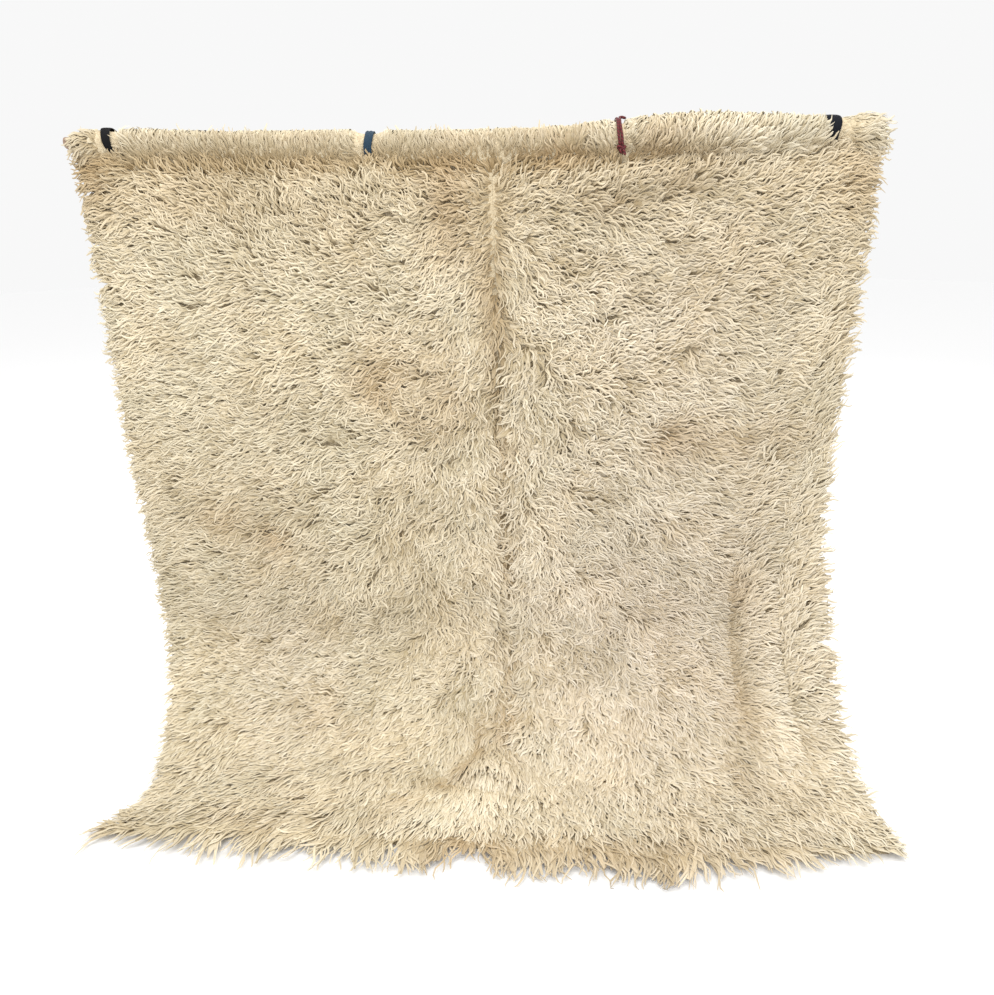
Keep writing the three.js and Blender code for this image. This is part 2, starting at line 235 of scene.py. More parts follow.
FOLDS = rows_of(
    Fold,
    ((-0.15, 1.85), (-0.01, 1.79), 0.062, 0.02),  # bulge, lower arm
    ((0.02, 1.76), (0.07, 1.65), 0.066, 0.026),  # bulge, upper arm
    ((-0.25, 1.88), (-0.12, 1.775), 0.044, -0.008),  # crease beside the bulge
    ((-0.115, 1.755), (-0.055, 1.69), 0.044, -0.012),
    ((-0.05, 1.65), (-0.035, 1.56), 0.044, -0.01),
    ((0.68, 1.12), (0.705, 1.6), 0.048, -0.012),  # valley inside the right edge
    ((-0.42, 0.62), (-0.34, 1.15), 0.15, 0.012),  # swells beside the seam
    ((0.33, 0.42), (0.38, 0.9), 0.13, 0.01),
    ((0.28, 0.13), (0.56, 0.086), 0.024, 0.013),  # pull under the wide strap
)


@dataclass(frozen=True)
class TieSize:
    """Sizes and place of one tie."""

    name: str
    across: float
    width: float
    thickness: float
    top: float
    bottom: float
    reach: float
    lean: float

    def radius(self, angle: float) -> float:
        """Distance from the pole's centre to the inside of the loop."""
        up = self.top if math.sin(angle) > 0 else self.bottom
        return 1 / math.hypot(math.cos(angle) / self.reach, math.sin(angle) / up)


NARROW_TIE = TieSize("tie_black_narrow", -0.838, 0.022, 0.002, 0.033, 0.027, 0.03, -0.25)
BLUE_TIE = TieSize("tie_blue", -0.224, 0.02, 0.003, 0.029, 0.027, 0.03, 0.06)
RED_TIE = TieSize("tie_red", 0.351, 0.012, 0.007, 0.045, 0.028, 0.032, -0.12)
WIDE_TIE = TieSize("tie_black_wide", 0.821, 0.03, 0.002, 0.034, 0.027, 0.031, -0.1)
TIES = (NARROW_TIE, BLUE_TIE, RED_TIE, WIDE_TIE)


@dataclass
class ClothLine:
    """One line down the back of the ground, from the cut tail to the woven front end."""

    y: Array
    z: Array
    depth: Array  # of the pile
    free: Array  # 0 at the pole, 1 once the bow of the pole no longer shows
    sweep: Array  # 0 to 1 along the curve above the floor
    share: Array  # 0 to 1 along the lying part
    lying: Array  # 1 on the floor
    down: Array
    out_y: Array
    out_z: Array


@dataclass(frozen=True)
class Drape:
    """The shape in which the rug hangs over its pole and lies on the floor."""

    pole_radius: float = 0.014
    gap: float = 0.00035
    bow_rise: float = 0.018
    bow_span: float = 0.940
    floor: float = -1.580
    ground: float = 0.004
    pile: float = 0.036
    tail_pile: float = 0.030
    plumb_forward: float = 0.013
    plumb_haste: float = 3.0  # how fast the neck reaches the plumb line
    wrap_start: float = -17.0  # degrees round the pole
    wrap_end: float = 197.0
    wrap_coarse_steps: int = 9
    wrap_steps: int = 18
    near_steps: int = 3
    hang_steps: int = 44
    sweep_steps: int = 30
    sweep_belly: float = 0.48  # share of the sweep's reach that lies under its curve
    sweep_drop: float = 0.5
    draw_power: float = 1.3
    lying_steps: int = 9
    lying_fold_loss: float = 0.6
    thin: float = 0.3  # share of the pile lost near the woven end
    thin_place: float = 0.86
    thin_width: float = 0.12
    seam_loss: float = 0.32
    seam_parting: float = 0.034
    seam_loss_start: float = 0.040
    unevenness: float = 0.0035
    fold_start: float = 0.060
    fold_fade: float = 0.060
    least_pile: float = 0.006
    flank_power: float = 1.5
    tie_fade: float = 0.022
    tie_columns: tuple[float, float] = (0.0, 0.004)  # places of closer columns beside a tie

    @property
    def wrap_reach(self) -> float:
        """Radius of the ground's back round the pole."""
        half_step = math.radians((self.wrap_end - self.wrap_start) / self.wrap_coarse_steps / 2)
        return (self.pole_radius + self.gap) / math.cos(half_step)

    def bow(self, x: float) -> float:
        """Height of the bowed pole's centre above the centre of its middle."""
        return self.bow_rise * (x / self.bow_span) ** 2

    def ripple(self, across: float, down: float) -> float:
        """Unevenness of the pile, between -1 and 1."""
        broad = math.sin(across / 0.053 + 1.3) * math.sin(down / 0.067 + across / 0.310)
        return 0.62 * broad + 0.38 * math.sin(across / 0.024 + down / 0.039)

    def fold(self, across: float, down: float) -> float:
        """How far the folds push the ground out at a place."""
        height = sum(one.push(across, down) for one in FOLDS)
        return height * smooth((down - self.fold_start) / self.fold_fade)

    def roll_depth(self, across: float, angle: float) -> float:
        """Depth of the pile round the pole, pressed thin under a tie.

        Args:
            across: The place along the pole.
            angle: The place round it, in radians from the back.

        Returns:
            The depth above the ground.
        """
        flank = abs(math.cos(angle)) ** self.flank_power
        loose = mix(between(ROLL_PILE, "depth", across), self.tail_pile, flank)
        pressed = loose
        for tie in TIES:
            beside = abs(across - tie.across) - tie.width / 2
            room = tie.radius(angle) - self.wrap_reach - self.ground - self.gap
            held = mix(room, loose, smooth(beside / self.tie_fade))
            pressed = min(pressed, held)
        return pressed

    def _beside_pole(self, table: Sequence[NearRow], pile: float) -> list[tuple[float, ...]]:
        """Trace the ground through the rows of a table beside the pole.

        Args:
            table: The rows.
            pile: Full depth of the pile.

        Returns:
            The rows of the line.
        """
        rows = []
        for here, after in zip(table, table[1:]):
            for k in range(self.near_steps):
                t = k / self.near_steps
                y, z = -mix(here.forward, after.forward, t), mix(here.up, after.up, t)
                rows.append((y, z, pile * mix(here.depth, after.depth, t), 0, 0, 0, 0))
        return [*rows, (-table[-1].forward, table[-1].up, pile * table[-1].depth, 0, 0, 0, 0)]

    def line(self, across: float) -> ClothLine:
        """Trace the back of the ground at one place across the rug.

        Args:
            across: The place along the pole.

        Returns:
            The line from the tail's end to the woven front end.
        """
        rows = self._beside_pole(TAIL, self.tail_pile)
        for k in range(self.wrap_steps + 1):
            angle = math.radians(mix(self.wrap_start, self.wrap_end, k / self.wrap_steps))
            y, z = self.wrap_reach * math.cos(angle), self.wrap_reach * math.sin(angle)
            rows.append((y, z, self.roll_depth(across, angle), 0, 0, 0, 0))
        top = len(rows) - 1 - self.wrap_steps // 2
        rows += self._beside_pole(NECK, self.pile)
        leave = self.floor + between(HANG, "leave", across)
        touch, end = between(HANG, "touch", across), between(HANG, "end", across)
        for k in range(1, self.hang_steps + 1):
            t = k / self.hang_steps
            y = -mix(NECK[-1].forward, self.plumb_forward, min(1.0, self.plumb_haste * t))
            rows.append((y, mix(NECK[-1].up, leave, t), self.pile, t, 0, 0, 0))
        drop = leave - self.floor
        middle = mix(self.plumb_forward, touch, self.sweep_belly)
        for k in range(1, self.sweep_steps + 1):
            t = k / self.sweep_steps
            a, b, c, d = (1 - t) ** 3, 3 * t * (1 - t) ** 2, 3 * t * t * (1 - t), t ** 3
            y = -(self.plumb_forward * (a + b) + middle * c + touch * d)
            z = leave * a + (leave - self.sweep_drop * drop) * b + self.floor * (c + d)
            rows.append((y, z, self.pile, 1, t, 0, 0))
        for k in range(1, self.lying_steps + 1):
            t = k / self.lying_steps
            thinned = 1 - self.thin * bell(t - self.thin_place, self.thin_width)
            rows.append((-mix(touch, end, t), self.floor, self.pile * thinned, 1, 1, t, 1))
        y, z, depth, free, sweep, share, lying = np.array(rows, float).T
        step = np.hypot(np.diff(y, prepend=y[0]), np.diff(z, prepend=z[0]))
        length = np.cumsum(step)
        tangent = unit(np.stack([np.gradient(y), np.gradient(z)], -1))
        return ClothLine(y, z, depth, free, sweep, share, lying, length - length[top],
                         tangent[:, 1], -tangent[:, 0])


@dataclass
class ClothPatch:
    """A grid over one panel: columns from left to right, rows from the tail to the front."""

    across: Array
    down: Array
    back: Array
    out: Array
    along: Array  # unit vectors across the cloth, to the right
    up: Array  # unit vectors up the cloth, to the pole
    depth: Array  # of the pile
    lying: Array
    fold: Array

    def rows(self, first: int, last: int) -> "ClothPatch":
        """The patch between two rows, both kept."""
        parts = {name: getattr(self, name)[:, first:last + 1] for name in self.__dataclass_fields__}
        return ClothPatch(**parts)


def trace_patch(drape: Drape, left: float, right: float, step: float) -> ClothPatch:
    """Lay a fine grid over a panel.

    Args:
        drape: The hanging shape.
        left: Left edge, as a place across.
        right: Right edge.
        step: Widest spacing of the columns.

    Returns:
        The grid with its directions and pile depth.
    """
    count = math.ceil((right - left) / step)
    edges = [tie.across + side * (tie.width / 2 + room)
             for tie in TIES for side in (-1, 1) for room in drape.tie_columns]
    places = np.array(sorted([*np.linspace(left, right, count + 1), *(x for x in edges if left < x < right)]))
    columns, downs, depths, lyings, folds = [], [], [], [], []
    for across in places:
        line = drape.line(across)
        fold = np.array([drape.fold(across, d) for d in line.down])
        fold = fold * (1 - drape.lying_fold_loss * line.lying)
        inner = np.maximum(0, fold * (1 - line.lying)) + np.minimum(0, fold) * (1 - line.sweep)
        uneven = np.array([drape.ripple(across, d) for d in line.down]) * drape.unevenness
        uneven[line.free == 0] = 0
        loss = 1 - drape.seam_loss * bell(across - SEAM_ACROSS, drape.seam_parting)
        pile = (line.depth + uneven) * np.where(line.down > drape.seam_loss_start, loss, 1.0)
        outer = np.maximum(inner + drape.least_pile, fold + drape.ground + pile)
        lean = between(HANG, "lean", across) * np.maximum(0, line.down / line.down[-1])
        draw = between(HANG, "draw", across) * line.sweep ** drape.draw_power
        spread = between(HANG, "spread", across)
        drift = lean + np.where(line.lying > 0, draw + (spread - draw) * line.share, draw)
        bow = drape.bow(across) * (1 - line.free)
        columns.append(np.stack([across + drift, line.y + line.out_y * inner,
                                 line.z + line.out_z * inner + bow], -1))
        downs.append(line.down)
        depths.append(outer - inner - drape.ground)
        lyings.append(line.lying)
        folds.append(fold)
    back = np.array(columns)
    along = unit(np.gradient(back, places, axis=0))
    up = unit(-np.gradient(back, axis=1))
    out = unit(np.cross(along, up))
    across_grid = np.repeat(places[:, None], back.shape[1], 1)
    return ClothPatch(across_grid, np.array(downs), back, out, along, up, np.array(depths),
                      np.array(lyings), np.array(folds))


# ---- How the pile is combed and soiled, and where shade and light are painted on it ----

COMB_PLACES = (-0.88, -0.72, -0.56, -0.40, -0.26, -0.17, -0.04, 0.0565, 0.0575, 0.11, 0.27, 0.42,
               0.58, 0.74, 0.88)


@dataclass(frozen=True)
class CombRow:
    """Ways the tips point at one length down the cloth.

    Each angle is in degrees at one of COMB_PLACES: 0 is right, 90 up the cloth and 180 left.
    """

    down: float
    angles: tuple[float, ...]


COMB = rows_of(
    CombRow,
    (-0.18, (110, 96, 84, 92, 98, 90, 84, 90, 90, 96, 88, 80, 92, 86, 70)),
    (-0.03, (160, 100, 90, 90, 90, 90, 90, 90, 90, 90, 90, 90, 90, 80, 20)),
    (0.01, (172, 92, 88, 90, 90, 92, 90, 90, 90, 92, 90, 80, 70, 50, 6)),
    (0.06, (190, 118, 98, 94, 92, 90, 92, 95, 85, 80, 85, 70, 45, 30, 5)),
    (0.11, (195, 146, 126, 132, 140, 145, 158, 168, 14, 30, 62, 50, 25, 20, 5)),
    (0.2, (184, 157, 128, 118, 145, 165, 192, 208, 334, 340, 356, 345, 12, 8, 2)),
    (0.28, (173, 160, 150, 150, 158, 168, 200, 214, 328, 340, 350, 340, 14, 4, 2)),
    (0.37, (171, 170, 170, 170, 170, 174, 208, 220, 328, 340, 352, 4, 17, 2, 358)),
    (0.47, (186, 184, 176, 179, 178, 172, 215, 225, 330, 320, 357, 351, 351, 352, 345)),
    (0.62, (186, 183, 180, 186, 190, 178, 240, 240, 320, 300, 355, 352, 353, 352, 346)),
    (0.78, (184, 181, 181, 184, 184, 190, 250, 245, 300, 280, 10, 348, 353, 350, 350)),
    (0.9, (191, 186, 184, 187, 200, 215, 250, 245, 300, 275, 5, 332, 346, 340, 344)),
    (1.03, (202, 187, 181, 198, 222, 235, 262, 245, 295, 270, 350, 340, 344, 345, 348)),
    (1.15, (198, 186, 183, 226, 250, 262, 268, 250, 290, 268, 300, 330, 340, 345, 339)),
    (1.27, (188, 181, 186, 212, 210, 225, 270, 252, 288, 268, 285, 330, 339, 343, 346)),
    (1.42, (181, 178, 182, 186, 190, 210, 268, 255, 285, 272, 300, 327, 334, 346, 350)),
    (1.54, (192, 184, 188, 196, 210, 222, 248, 252, 285, 270, 262, 292, 325, 335, 346)),
    (1.66, (201, 199, 198, 216, 228, 236, 256, 256, 280, 262, 252, 286, 311, 325, 344)),
    (1.8, (202, 206, 206, 216, 236, 244, 262, 262, 272, 262, 264, 296, 316, 318, 342)),
    (1.93, (190, 194, 200, 206, 222, 240, 255, 262, 272, 268, 286, 300, 312, 326, 350)),
    (2.04, (196, 238, 258, 264, 262, 256, 252, 262, 276, 280, 284, 282, 286, 294, 330)),
)


def comb_ways(across: Array, down: Array) -> tuple[Array, Array]:
    """Find which way the pile is combed.

    Args:
        across: Places along the pole.
        down: Lengths of cloth below its top.

    Returns:
        The shares to the right and up the cloth. They are short where the pile parts.
    """
    downs = np.array([row.down for row in COMB])
    angles = np.radians(np.array([row.angles for row in COMB]))
    shares = []
    for table in (np.cos(angles), np.sin(angles)):
        by_row = np.array([np.interp(across, COMB_PLACES, values) for values in table])
        place = np.clip(np.interp(down, downs, np.arange(len(downs))), 0, len(downs) - 1.001)
        low = place.astype(int)
        part = place - low
        first = np.take_along_axis(by_row, low[None], 0)[0]
        second = np.take_along_axis(by_row, low[None] + 1, 0)[0]
        shares.append(first * (1 - part) + second * part)
    return shares[0], shares[1]


@dataclass(frozen=True)
class SoftPatch:
    """A soft patch on the cloth: of soiled wool, of painted shade or painted light, or of calmer or matted
    pile.
    """

    across: float
    down: float
    wide: float
    tall: float
    strength: float

    def cover(self, across: Array, down: Array) -> Array:
        """Strength of the patch at places on the cloth."""
        distance = ((across - self.across) / self.wide) ** 2 + ((down - self.down) / self.tall) ** 2
        return self.strength * np.exp(-distance)


# Brown soiling of the wool, with brown painted shade in the crease under the roll and along the seam's
# parting.
SOIL_AND_SHADE = rows_of(
    SoftPatch,
    (-0.23, 0.58, 0.065, 0.07, 0.45),  # two lobes and their warm lower side
    (-0.07, 0.605, 0.06, 0.065, 0.4),
    (-0.125, 0.69, 0.06, 0.045, 0.45),
    (-0.15, 0.52, 0.15, 0.08, 0.25),
    (-0.02, 0.16, 0.055, 0.11, 0.6),  # beside the top of the seam: a stain, then brown painted shade along the seam's parting
    (0.04, 0.33, 0.02, 0.13, 0.5),
    (-0.54, 1.01, 0.045, 0.05, 0.6),  # left of the middle
    (-0.69, 0.955, 0.08, 0.06, 0.36),
    (-0.6, 0.93, 0.13, 0.09, 0.2),
    (-0.42, 1.6, 0.09, 0.06, 0.2),
    (0.42, 0.04, 0.06, 0.03, 0.5),  # under the roll: a reddish stain, then brown painted shade in the crease
    (0.2, 0.062, 0.08, 0.022, 0.6),
    (-0.865, 0.09, 0.05, 0.06, 0.4),
    (0.86, 0.11, 0.05, 0.06, 0.28),
    (0.47, 0.712, 0.06, 0.05, 0.25),
    (0.68, 0.727, 0.15, 0.05, 0.2),
    (0.035, 1.56, 0.022, 0.16, 0.45),
    (-0.055, 1.975, 0.08, 0.035, 0.42),  # along the front
    (0.14, 1.98, 0.12, 0.04, 0.22),
    (0.35, 1.985, 0.17, 0.035, 0.14),
    (0.54, 1.95, 0.1, 0.04, 0.1),
)
# Painted shade: darker wool in the crease under the roll, the dim top band, below the pull of the wide strap,
# at the seam's parting, in the folds, the right valley and the partings along the front; a few rows only
# darken the wool where it is darker.
PAINTED_SHADE = rows_of(
    SoftPatch,
    (-0.24, 0.066, 0.5, 0.034, 1.0),  # the crease under the roll
    (0.24, 0.068, 0.13, 0.032, 1.0),
    (-0.64, 0.075, 0.2, 0.024, 0.7),
    (0.45, 0.06, 0.1, 0.02, 0.4),
    (0.0, 0.12, 1.3, 0.15, 0.32),
    (-0.6, 0.15, 0.24, 0.06, 0.26),
    (-0.87, 0.08, 0.07, 0.09, 0.5),
    (0.87, 0.2, 0.06, 0.2, 0.25),
    (0.32, 0.156, 0.09, 0.016, 0.6),
    (0.46, 0.126, 0.08, 0.014, 0.5),
    (0.357, 0.336, 0.05, 0.06, 0.22),
    (0.47, 0.712, 0.07, 0.045, 0.4),  # right of the middle
    (0.7, 0.725, 0.21, 0.04, 0.28),
    (0.705, 1.19, 0.045, 0.075, 0.55),  # the valley inside the right edge
    (0.697, 1.45, 0.032, 0.19, 0.45),
    (0.625, 1.75, 0.034, 0.09, 0.45),
    (0.64, 1.56, 0.05, 0.14, 0.28),
    (0.62, 0.34, 0.1, 0.2, 0.24),
    (0.42, 0.34, 0.06, 0.12, 0.16),
    (0.057, 0.38, 0.014, 0.12, 0.7),
    (0.06, 0.7, 0.018, 0.24, 1.0),  # the parting at the seam
    (0.055, 1.08, 0.017, 0.18, 0.9),
    (0.06, 1.5, 0.014, 0.25, 0.75),
    (-0.25, 1.905, 0.06, 0.016, 0.55),  # the crease beside the bulge
    (-0.19, 1.86, 0.055, 0.017, 0.8),
    (-0.12, 1.8, 0.042, 0.022, 1.0),
    (-0.06, 1.74, 0.032, 0.026, 1.0),
    (-0.028, 1.67, 0.024, 0.048, 1.0),
    (-0.018, 1.59, 0.02, 0.06, 0.8),
    (-0.64, 1.93, 0.26, 0.016, 0.35),  # partings along the front
    (0.38, 1.945, 0.3, 0.014, 0.4),
    (0.18, 2.0, 0.42, 0.045, 0.45),
    (-0.06, 2.01, 0.09, 0.04, 0.4),
)
# Painted light: lighter locks on the bulge, the lower sweep and the right flank, where light falls on them,
# and on a few other lighter patches.
PAINTED_LIGHT = rows_of(
    SoftPatch,
    (0.0, 1.79, 0.08, 0.08, 1.0),
    (-0.1, 1.85, 0.07, 0.04, 0.7),
    (-0.17, 1.93, 0.06, 0.04, 0.55),
    (0.33, 1.65, 0.18, 0.14, 0.12),
    (0.13, 1.12, 0.16, 0.22, 0.34),
    (-0.78, 0.4, 0.1, 0.25, 0.2),
    (0.0, 1.8, 1.2, 0.26, 0.24),
    (0.8, 1.5, 0.07, 0.3, 0.35),
)
COOL = rows_of(
    SoftPatch,
    (0.45, 1.3, 0.45, 0.6, 0.8),
    (0.45, 0.4, 0.4, 0.4, 0.3),
    (-0.55, 1.45, 0.2, 0.35, 0.35),
)
ROLL_HIGHLIGHT = rows_of(SoftPatch, (0.0, -0.008, 1.6, 0.036, 0.9))  # painted highlight: the top of the roll is made paler and cooler
CALM = rows_of(
    SoftPatch,
    (-0.3, -0.01, 0.56, 0.05, 0.95),
    (0.5, -0.01, 0.56, 0.04, 0.6),
    (0.0, 1.79, 0.08, 0.08, 0.75),
    (-0.8, 0.9, 0.35, 0.9, 0.35),
    (0.8, 0.9, 0.3, 0.9, 0.35),
)
MATTED = rows_of(
    SoftPatch,
    (0.01, 1.78, 0.1, 0.1, 0.9),
    (-0.12, 1.85, 0.1, 0.06, 0.8),
    (-0.1, 0.0, 1.4, 0.045, 0.8),
)


WASHES = (  # attribute, the patches it covers and the colour that multiplies the wool there
    # soiling, with brown painted shade under the roll and at the seam
    ("soil", SOIL_AND_SHADE, (0.71, 0.585, 0.45)),
    # painted shade
    ("shade", PAINTED_SHADE, (0.65, 0.565, 0.45)),
    ("cool", COOL, (0.99, 0.985, 1.10)),
    # painted highlight on the top of the roll
    ("pale", ROLL_HIGHLIGHT, (1.13, 1.25, 1.45)),
)


def total_cover(patches: Sequence[SoftPatch], across: Array, down: Array) -> Array:
    """Summed strength of several patches, at most 1."""
    return np.minimum(sum(one.cover(across, down) for one in patches), 1.0)


# ---- Node trees ----

Colour = tuple[float, float, float]
Stops = tuple[tuple[float, Colour], ...]


@dataclass
class Quantity:
    """A value flowing through a node tree, from an output socket, with plain arithmetic."""

    graph: "Graph"
    socket: NodeSocket
    vector: bool = False

    def __add__(self, other: "Quantity | float") -> "Quantity":
        """Sum."""
        return self.function("ADD", other)

    def __sub__(self, other: "Quantity | float") -> "Quantity":
        """Difference."""
        return self.function("SUBTRACT", other)

    def __rsub__(self, other: float) -> "Quantity":
        """Difference from a plain number."""
        return self.graph.operate("SUBTRACT", self.vector, other, self)

    def __mul__(self, other: "Quantity | float") -> "Quantity":
        """Product."""
        return self.function("MULTIPLY", other)

    def __pow__(self, other: float) -> "Quantity":
        """Power of a plain number."""
        return self.function("POWER", other)

    def function(self, name: str, *others: "Quantity | float") -> "Quantity":
        """Apply a named math operation, on vectors if either value is one."""
        vector = self.vector or any(isinstance(one, Quantity) and one.vector for one in others)
        return self.graph.operate(name, vector, self, *others)


class Graph:
    """Short calls that build one geometry or shader tree."""

    def __init__(self, tree: NodeTree) -> None:
        """Work on a tree."""
        self.tree = tree

    @staticmethod
    def find(sockets: Sequence[NodeSocket], key: str | int) -> NodeSocket:
        """Pick the socket of a number, or the enabled one of a name."""
        named = (one for one in sockets if one.name == key and one.enabled)
        return sockets[key] if isinstance(key, int) else next(named)

    def node(self, kind: str, inputs: dict | None = None, **settings: object) -> Node:
        """Add a node.

        Args:
            kind: Blender's type name.
            inputs: Values, quantities or sockets by socket name or number.
            settings: Properties of the node.

        Returns:
            The node.
        """
        made = self.tree.nodes.new(kind)
        for name, value in settings.items():
            setattr(made, name, value)
        for key, value in (inputs or {}).items():
            self.feed(self.find(made.inputs, key), value)
        return made

    def feed(self, socket: NodeSocket, value: object) -> None:
        """Link a quantity or a socket to an input, or set the input's own value.

        Args:
            socket: The input.
            value: What goes into it.
        """
        source = value.socket if isinstance(value, Quantity) else value
        if isinstance(source, NodeSocket):
            self.tree.links.new(source, socket)
        else:
            socket.default_value = value

    def output(self, node: Node, key: str | int = 0) -> NodeSocket:
        """Output socket of a node."""
        return self.find(node.outputs, key)

    def take(self, node: Node, key: str | int, vector: bool = False) -> Quantity:
        """Wrap one output of a node."""
        return Quantity(self, self.output(node, key), vector)

    def operate(self, name: str, vector: bool, *values: "Quantity | float") -> Quantity:
        """Add a math node.

        Args:
            name: The operation.
            vector: Whether it works on vectors.
            values: What it works on. Numbers count for all three parts of a vector.

        Returns:
            The result.
        """
        made = self.node("ShaderNodeVectorMath" if vector else "ShaderNodeMath", operation=name)
        for socket, value in zip(made.inputs, values):
            number = isinstance(value, (int, float))
            self.feed(socket, (value,) * 3 if vector and number else value)
        plain = name == "DOT_PRODUCT"
        return self.take(made, 1 if vector and plain else 0, vector and not plain)

    def triple(self, *values: "Quantity | float") -> Quantity:
        """Join three numbers."""
        return self.take(self.node("ShaderNodeCombineXYZ", dict(zip("XYZ", values))), "Vector", True)

    def split(self, value: Quantity) -> list[Quantity]:
        """Part a vector into its three numbers."""
        node = self.node("ShaderNodeSeparateXYZ", {"Vector": value})
        return [self.take(node, axis) for axis in "XYZ"]

    def noise(self, place: object, scale: float, detail: float, distortion: float = 0.0) -> Quantity:
        """Read a noise from 0 to 1.

        Args:
            place: Where it is read.
            scale: Lumps to a metre.
            detail: Finer layers.
            distortion: How far the lumps swirl.

        Returns:
            The noise.
        """
        made = self.node("ShaderNodeTexNoise", {"Vector": place, "Scale": scale, "Detail": detail,
                                                "Distortion": distortion})
        return self.take(made, "Fac")


class ShaderGraph(Graph):
    """The tree of one material."""

    def __init__(self, name: str) -> None:
        """Start the material."""
        self.material = bpy.data.materials.new(name)
        self.material.use_nodes = True
        super().__init__(self.material.node_tree)
        self.shader = next(n for n in self.tree.nodes if n.type == "BSDF_PRINCIPLED")

    def place(self) -> NodeSocket:
        """The piece's own coordinates."""
        return self.output(self.node("ShaderNodeTexCoord"), "Object")

    def cloth(self) -> tuple[Quantity, Quantity, Quantity]:
        """Read the cloth's coordinates.

        Returns:
            Both of them, then each alone.
        """
        both = self.take(self.node("ShaderNodeUVMap", uv_map="cloth"), "UV", True)
        return both, *self.split(both)[:2]

    def ramp(self, value: Quantity, *stops: tuple[float, Colour]) -> Quantity:
        """Turn a number into a colour.

        Args:
            value: The number.
            stops: Places from 0 to 1 and the colours there.

        Returns:
            The colour.
        """
        made = self.node("ShaderNodeValToRGB", {"Fac": value})
        points = made.color_ramp.elements
        while len(points) < len(stops):
            points.new(0.5)
        for point, (place, colour) in zip(points, stops):
            point.position = place
            point.color = (*colour, 1)
        return self.take(made, "Color", vector=True)

    def blend(self, share: "Quantity | float", a: object, b: object, how: str = "MIX") -> Quantity:
        """Mix two colours.

        Args:
            share: How much of the second counts.
            a: The first colour.
            b: The second colour.
            how: Blender's name of the way of mixing.

        Returns:
            The colour.
        """
        colours = [(*one, 1) if isinstance(one, tuple) else one for one in (a, b)]
        made = self.node("ShaderNodeMix", {"Factor": share, "A": colours[0], "B": colours[1]},
                         data_type="RGBA", blend_type=how)
        return self.take(made, "Result", vector=True)

    def tinted(self, colour: Quantity, tint: object, share: "Quantity | float" = 1.0) -> Quantity:
        """Multiply a colour by a tint, wholly or by a share."""
        full = self.blend(1.0, colour, tint, "MULTIPLY")
        return full if share == 1.0 else self.blend(share, colour, full)

    def dress(self, colour: object, relief: tuple[float, float, Quantity] | None = None,
              **numbers: object) -> Material:
        """Set up the shader.

        Args:
            colour: The base colour.
            relief: Strength and depth in metres of the bumps, and their height.
            numbers: Other inputs of the shader, with _ for a space in their names.

        Returns:
            The finished material.
        """
        if relief:
            inputs = dict(zip(("Strength", "Distance", "Height"), relief))
            numbers["Normal"] = self.take(self.node("ShaderNodeBump", inputs), "Normal", True)
        for name, value in {"Base Color": colour, **numbers}.items():
            self.feed(self.shader.inputs[name.replace("_", " ")], value)
        return self.material


class PieceTree(Graph):
    """A Geometry Nodes tree with named inputs, which ends in real meshes of one material."""

    def __init__(self, name: str, numbers: Sequence[str], counts: Sequence[str] = ()) -> None:
        """Start the tree.

        Args:
            name: The tree's name.
            numbers: Names of the inputs that are sizes.
            counts: Names of the inputs that are whole numbers.
        """
        super().__init__(bpy.data.node_groups.new(name, "GeometryNodeTree"))
        face = self.tree.interface
        for way in ("OUTPUT", "INPUT"):
            face.new_socket("Geometry", in_out=way, socket_type="NodeSocketGeometry")
        kinds = {**dict.fromkeys(numbers, "NodeSocketFloat"), **dict.fromkeys(counts, "NodeSocketInt")}
        self.keys = {key: face.new_socket(key, in_out="INPUT", socket_type=kind).identifier
                     for key, kind in kinds.items()}
        self.group = self.node("NodeGroupInput")

    def size(self, name: str) -> Quantity:
        """A named input of the tree."""
        return self.take(self.group, name)

    def step(self, kind: str, geometry: NodeSocket, inputs: dict | None = None,
             **settings: object) -> NodeSocket:
        """Pass geometry through a node, from its first input to its first output.

        Args:
            kind: Blender's type name.
            geometry: What goes in.
            inputs: The node's other inputs.
            settings: Properties of the node.

        Returns:
            What comes out.
        """
        made = self.node(kind, inputs, **settings)
        self.feed(made.inputs[0], geometry)
        return made.outputs[0]

    def stored(self, name: str, kind: str = "FLOAT") -> Quantity:
        """Read an attribute."""
        node = self.node("GeometryNodeInputNamedAttribute", {"Name": name}, data_type=kind)
        return self.take(node, "Attribute", kind != "FLOAT")

    def chance(self, low: float, high: float, seed: int) -> Quantity:
        """A random number between two others for each point."""
        inputs = {"Min": low, "Max": high, "Seed": seed}
        return self.take(self.node("FunctionNodeRandomValue", inputs, data_type="FLOAT"), "Value")

    def finish(self, geometry: NodeSocket, material: Material) -> None:
        """End the tree.

        Args:
            geometry: The finished shapes.
            material: Their finish.
        """
        rounded = self.step("GeometryNodeSetShadeSmooth", geometry)
        real = self.step("GeometryNodeRealizeInstances", rounded)
        dressed = self.step("GeometryNodeSetMaterial", real, {"Material": material})
        self.node("NodeGroupOutput", {"Geometry": dressed})

    def put_on(self, obj: Object, values: dict[str, float]) -> None:
        """Add the tree to an object as a modifier.

        Args:
            obj: The object.
            values: The tree's inputs by name.
        """
        modifier = obj.modifiers.new(self.tree.name, "NODES")
        modifier.node_group = self.tree
        for name, value in values.items():
            modifier[self.keys[name]] = value


# ---- Finishes ----


